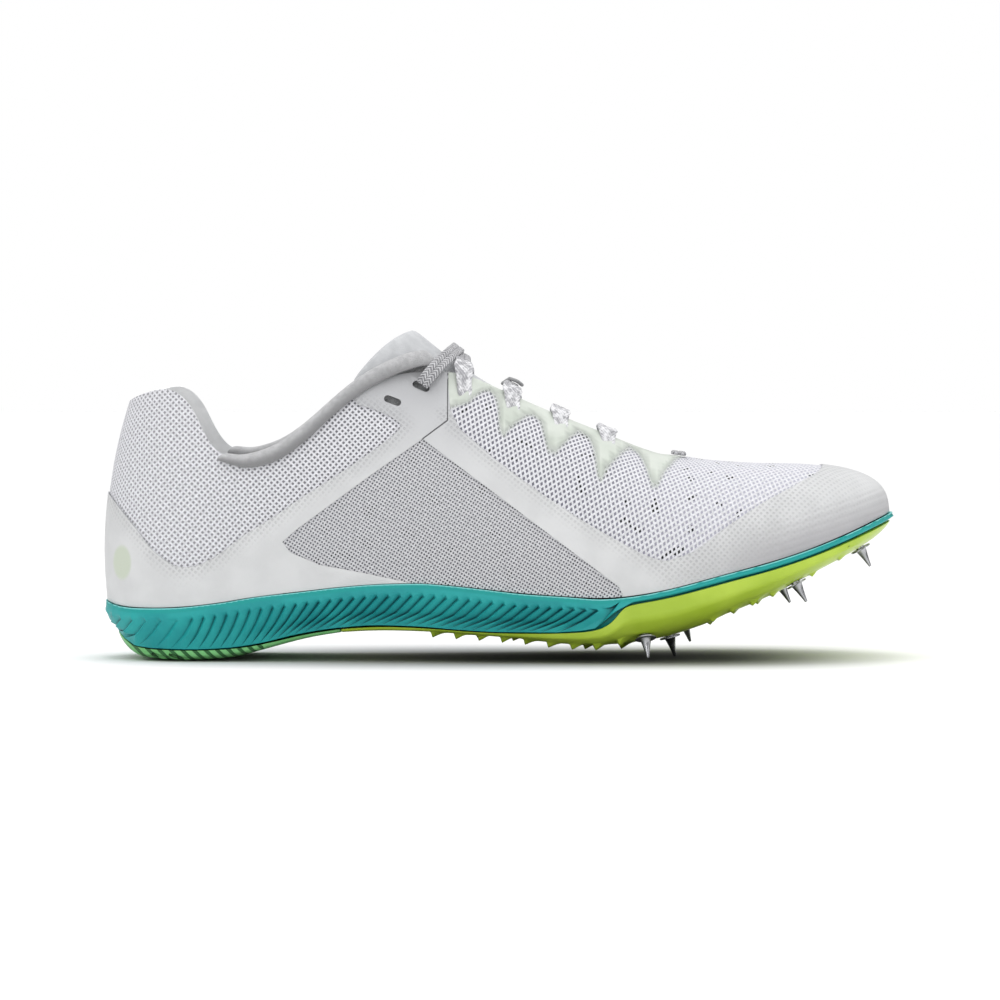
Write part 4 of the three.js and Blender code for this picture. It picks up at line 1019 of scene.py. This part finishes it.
# %% The seam's painted shadow line and the wall of the upper
# a thin dark sheet along the join of film and strap: its painted shadow line
seam_shadow = skin_layer("seam_shadow_line", 0.12 * MM, 0.2 * MM)
cut(seam_shadow, cutters["seam_shadow"], "INTERSECT")
seam_shadow.data.materials.clear()
finish_piece(seam_shadow, film_edge_shadow, "film", smooth=40)
upper = skin_layer("upper_wall", 0, -WALL)
outer_count = len(skin.data.polygons)
upper.data.materials.clear()
for finish in (knit, inner_cloth):
    upper.data.materials.append(finish)
for face in upper.data.polygons:
    face.material_index = 0 if face.index < outer_count else 1
for cutter in slot_cutters:
    cut(upper, cutter)
finish_piece(upper, knit, "mesh", "upper", smooth=40)

# %% Painted shade behind the slots: a sheet of dark lining cloth
# dark lining cloth inside the wall, as painted shade seen through the slots
slot_shade_sheet = skin_layer("slot_shade_backing", -(WALL + 0.15 * MM), -0.4 * MM)
backs = [slot_outline(*row, half_length=6.5, half_width=4.0) for row in SLOTS]
whole = joined("backs", [side_cutter("back", outline, smoothing=1) for outline in backs])
cut(slot_shade_sheet, whole, "INTERSECT")
slot_shade_sheet.data.materials.clear()
finish_piece(slot_shade_sheet, lining, "lining", smooth=40)
drop(whole, fin_cutter, *cutters.values(), *slot_cutters)

# %% [markdown]
# ## Sole unit
#
# The foam wedge keeps its swept ribs: their sharp edges are creased, and the faces between them are
# rounded, so each rib turns into the soft step of a moulding. Rubber and plate get the same care.


# %% Foam, rubber and plate from their solids
def moulded(name_of_node, name, material, slot, degrees, crease, smooth=35):
    """A smooth piece from a solid, whose edges sharper than `degrees` are creased."""
    made = working_copy(name_of_node, name)
    crease_sharp(made, degrees, crease)
    rounded(made, 2)
    finish_piece(made, material, slot, name_of_node, smooth=smooth)
    return made


midsole = moulded("midsole", "foam_wedge", foam, "midsole", 18, 1.0, smooth=25)
RIM = 4 * MM  # depth below the top edge over which the rim attribute falls to nothing
tops = {}


def station(point):
    """Which stretch of the sole's edge a point belongs to."""
    return round(point.x / (2 * MM)), point.y > 0


for vertex in midsole.data.vertices:
    tops[station(vertex.co)] = max(tops.get(station(vertex.co), 0), vertex.co.z)
point_attribute(
    midsole, "rim", lambda point: max(0.0, 1 - (tops[station(point)] - point.z) / RIM)
)
moulded("heel_outsole", "heel_rubber", rubber, "heel_rubber", 35, 0.9)
moulded("spike_plate", "lime_plate", plate_lime, "plate", 35, 0.9)
insole = moulded("insole", "footbed", footbed, "insole", 50, 0.5)

# %% [markdown]
# ## Tongue and collar
#
# Both are thin pads. Their solids already have the right place and fullness, so the tongue is only
# rounded. A collar's padding thins out at both ends, so the end faces of its rolls are extruded and
# made smaller step by step before they are rounded.

# %% Pads
# For each end: how far along and up in mm, and how much smaller, step by step
TAPER = {1: [(2.5, -0.6, 0.8), (2.5, -1.6, 0.55)], -1: [(-1.6, 0.5, 0.7), (-1.4, 0.8, 0.4)]}

tongue = moulded("tongue", "tongue_pad", tongue_cloth, "tongue", 60, 0.2, smooth=60)
for side in ("lateral", "medial"):
    roll = working_copy(f"collar_roll_{side}", f"collar_pad_{side}")
    xs = [vertex.co.x for vertex in roll.data.vertices]
    for end, way in ((max(xs), 1), (min(xs), -1)):
        select_where(
            roll,
            lambda face: face.normal.x * way > 0.5 and abs(face.center.x - end) < 4 * MM,
            "FACE",
        )
        for along, up, size in TAPER[way]:
            bpy.ops.mesh.extrude_region_move(TRANSFORM_OT_translate={"value": (along * MM, 0, up * MM)})
            bpy.ops.transform.resize(value=(size, size, size))
        bpy.ops.object.mode_set(mode="OBJECT")
    rounded(roll, 2)
    finish_piece(roll, collar_cloth, "lining", f"collar_roll_{side}", smooth=80)
drop(skin)

# %% [markdown]
# ## Lace and loops
#
# The lace is a flat woven tube: seen closely, two soft strands side by side. Each stretch of it is a
# grid, whose rows are set on a route that is dropped onto the CAD lace from above. The loops are
# bands of white webbing that come out of the clear film, go over the lace and are caught again.


# %% Bands that follow a route
def dropped(target, points, stand_off=0.0):
    """Drops points (x, y in mm) onto a solid from above. Returns places with their normals."""
    mesh = nodes[target].data
    solid = BVHTree.FromPolygons([v.co for v in mesh.vertices], [f.vertices for f in mesh.polygons])
    places = []
    for x, y in points:
        spot, normal, _, _ = solid.ray_cast(Vector((x * MM, y * MM, 0.2)), Vector((0, 0, -1)))
        if spot:
            places.append([spot + normal * stand_off * MM, normal])
    for _ in range(2):
        smooth = [
            (a[1] + b[1] * 2 + c[1]).normalized()
            for a, b, c in zip([places[0]] + places, places, places[1:] + [places[-1]])
        ]
        for spot, normal in zip(places, smooth):
            spot[1] = normal
    return places


def band(name, places, width, thickness, shift=0.0, crumple=0.0, columns=3, taper=1.0):
    """A band of webbing along places, with rounded edges and a flat layout in metres.

    Crumple lifts its points by a wave, in mm, and taper is how narrow its far end gets.
    """
    bpy.ops.object.select_all(action="DESELECT")
    bpy.ops.mesh.primitive_grid_add(
        x_subdivisions=columns, y_subdivisions=len(places) - 1, size=1, calc_uvs=True
    )
    made = bpy.context.object
    made.name = name
    length = 0
    run = []
    for i, (spot, normal) in enumerate(places):
        before = places[max(i - 1, 0)][0]
        after = places[min(i + 1, len(places) - 1)][0]
        across = (after - before).cross(normal).normalized()
        length += (spot - before).length
        run.append(length)
        from_middle = abs(2 * i / (len(places) - 1) - 0.9)
        narrow = 1 - (1 - taper) * max(0, from_middle - 0.1)
        for k in range(columns + 1):
            wave = math.sin(2.1 * i + 3.7 * k) * math.cos(1.3 * i - 1.9 * k)
            step = (k / columns - 0.5) * width * narrow * (1 + 0.3 * crumple * wave) + shift
            offset = (across * step + normal * crumple * wave) * MM
            made.data.vertices[i * (columns + 1) + k].co = spot + offset
    for loop in made.data.loops:
        row, column = divmod(loop.vertex_index, columns + 1)
        made.data.uv_layers.active.data[loop.index].uv = (column / columns * width * MM, run[row])
    in_edit_mode(made, lambda: bpy.ops.mesh.normals_make_consistent(inside=False))
    if sum(face.normal.z for face in made.data.polygons) < 0:
        in_edit_mode(made, lambda: bpy.ops.mesh.flip_normals())
    apply_modifier(made, "SOLIDIFY", thickness=thickness * MM, offset=-1)
    rounded(made, 2)
    return made


# %% Lace
BARS = [102.1, 119.5, 136.8, 153.8, 179.7]  # x of each crossing
LACE_WIDTH = 5.0
LOWERED = 0.7  # how far the soft bands sink below the tops of their solids, in mm


def reach_of_bar(x):
    """How far to each side the CAD lace reaches at a crossing, in mm."""
    ys = [v.co.y / MM for v in nodes["lace"].data.vertices if abs(v.co.x / MM - x) < 3]
    return min(ys), max(ys)


def tucked(places, depth, further=0.0):
    """Lets both ends run on and then sink below the surface, so that the band seems to go through."""
    ended = [list(place) for place in places]
    for end, inner, where in ((places[0], places[1], 0), (places[-1], places[-2], len(places) + 1)):
        onward = (end[0] - inner[0]).normalized()
        ended[0 if where == 0 else -1][0] = end[0] + onward * further * MM
        sunk = end[0] - end[1] * depth * MM + onward * (further + 0.5 * depth) * MM
        ended.insert(where, [sunk, (end[1] + onward).normalized()])
    return ended


def strands(name, places):
    half = LACE_WIDTH / 2
    return [band(f"{name}_{k}", places, half + 0.15, 1.2, (k - 0.5) * half) for k in (0, 1)]


def even(low, high, count):
    return [low + (high - low) * i / (count - 1) for i in range(count)]


stretches = []
for i, x in enumerate(BARS):
    low, high = reach_of_bar(x)
    route = [(x, y) for y in even(low + 0.6, high - 0.6, 13)]
    stretches += strands(f"bar_{i}", dropped("lace", route, -LOWERED))
TOP_STRAND = [
    (86.7, -27.4), (92.6, -21.8), (96.6, -15.2), (99, -7.7), (99.8, 0.5), (98.9, 8.6), (96.4, 15.2),
    (92.4, 20.1), (86.8, 23.5),
]
top_route = []
for (ax, ay), (bx, by) in zip(TOP_STRAND, TOP_STRAND[1:]):
    top_route += [(ax + (bx - ax) * k / 3, ay + (by - ay) * k / 3) for k in range(3)]
top_places = tucked(dropped("lace", top_route[1:]), 3.2, 1.2)
stretches += strands("top", top_places)
lace = joined("lace_woven", stretches)
finish_piece(lace, braid, "lace", "lace", smooth=60)

# %% Loops
LOOP_WIDTH = 8.0


def loop_band(side, x):
    name_of_node = f"lace_loops_{side}"
    low, high = reach_of_bar(x)
    edge, outward = (low, -1) if side == "lateral" else (high, 1)
    route = [(x, edge + outward * step) for step in even(-5.0, 6.0, 9)]
    places = tucked(dropped(name_of_node, route, -LOWERED), 1.2)
    return band(f"loop_{side}_{x}", places, LOOP_WIDTH, 1.1, crumple=0.6, columns=8, taper=0.45)


loops = joined("lace_loops", [loop_band(side, x) for side in ("lateral", "medial") for x in BARS[:4]])
finish_piece(loops, webbing_white, "lace", smooth=60)

# %% Keeper strap over the second crossing
keeper_route = [(x, 0.3) for x in even(114.1, 125, 11)]
keeper = band("keeper_strap", dropped("lace_keeper", keeper_route, -LOWERED), 5.4, 1.3)
finish_piece(keeper, lining, "lining", "lace_keeper", smooth=60)

# %% [markdown]
# ## Spikes
#
# Each pin is spun from a profile: a rounded washer with a raised rim, then a hollow cone with a
# blunt tip. One is made, and copies with meshes of their own are set where the CAD pins stand.


# %% Spin one spike and set the copies
def spike_frame(name):
    """Foot and direction of a CAD spike, from the ring of its stem to its tip."""
    points = [v.co.copy() for v in nodes[name].data.vertices]
    lowest = min(points, key=lambda p: p.z)
    tip_ring = [p for p in points if (p - lowest).length < 1.2 * MM]
    tip = sum(tip_ring, Vector()) / len(tip_ring)
    far = max((p - tip).length for p in points)
    stem_ring = [p for p in points if (p - tip).length > far - 0.12 * MM]
    stem = sum(stem_ring, Vector()) / len(stem_ring)
    return stem, (tip - stem).normalized(), (tip - stem).length


SPIKES = [name for name in nodes if name.startswith("spike_") and name != "spike_plate"]
PIN_PROFILE = [
    (0.0, 0.0), (1.7, 0.0), (1.7, 0.9), (3.7, 0.92), (3.85, 1.05), (3.85, 1.4), (3.6, 1.62), (3.0, 1.6),
    (2.5, 1.42), (2.2, 1.5), (1.95, 1.9), (1.35, 4.2), (0.85, 6.6), (0.5, 8.6), (0.42, 8.85), (0.0, 8.95),
]
_, _, full = spike_frame(SPIKES[0])
stretch = full / MM / PIN_PROFILE[-1][1]
bpy.ops.object.select_all(action="DESELECT")
bpy.ops.mesh.primitive_circle_add(vertices=len(PIN_PROFILE), radius=0.01, fill_type="NOTHING")
pin = bpy.context.object
for vertex, (out, up) in zip(pin.data.vertices, PIN_PROFILE):
    vertex.co = (out * MM, 0, up * (stretch if up > 1.6 else 1) * MM)
in_edit_mode(
    pin,
    lambda: bpy.ops.mesh.spin(steps=32, angle=2 * math.pi, center=(0, 0, 0), axis=(0, 0, 1)),
    lambda: bpy.ops.mesh.select_all(action="SELECT"),
    lambda: bpy.ops.mesh.remove_doubles(threshold=0.01 * MM),
    lambda: bpy.ops.mesh.normals_make_consistent(inside=False),
)
for name in SPIKES:
    stem, down, _ = spike_frame(name)
    placed = pin.copy()
    placed.data = pin.data.copy()
    placed.name = name.replace("spike", "pin")
    bpy.context.scene.collection.objects.link(placed)
    placed.rotation_euler = down.to_track_quat("Z", "Y").to_euler()
    placed.location = stem
    settle(placed)
    finish_piece(placed, steel, "spike", name, smooth=35)
drop(pin)
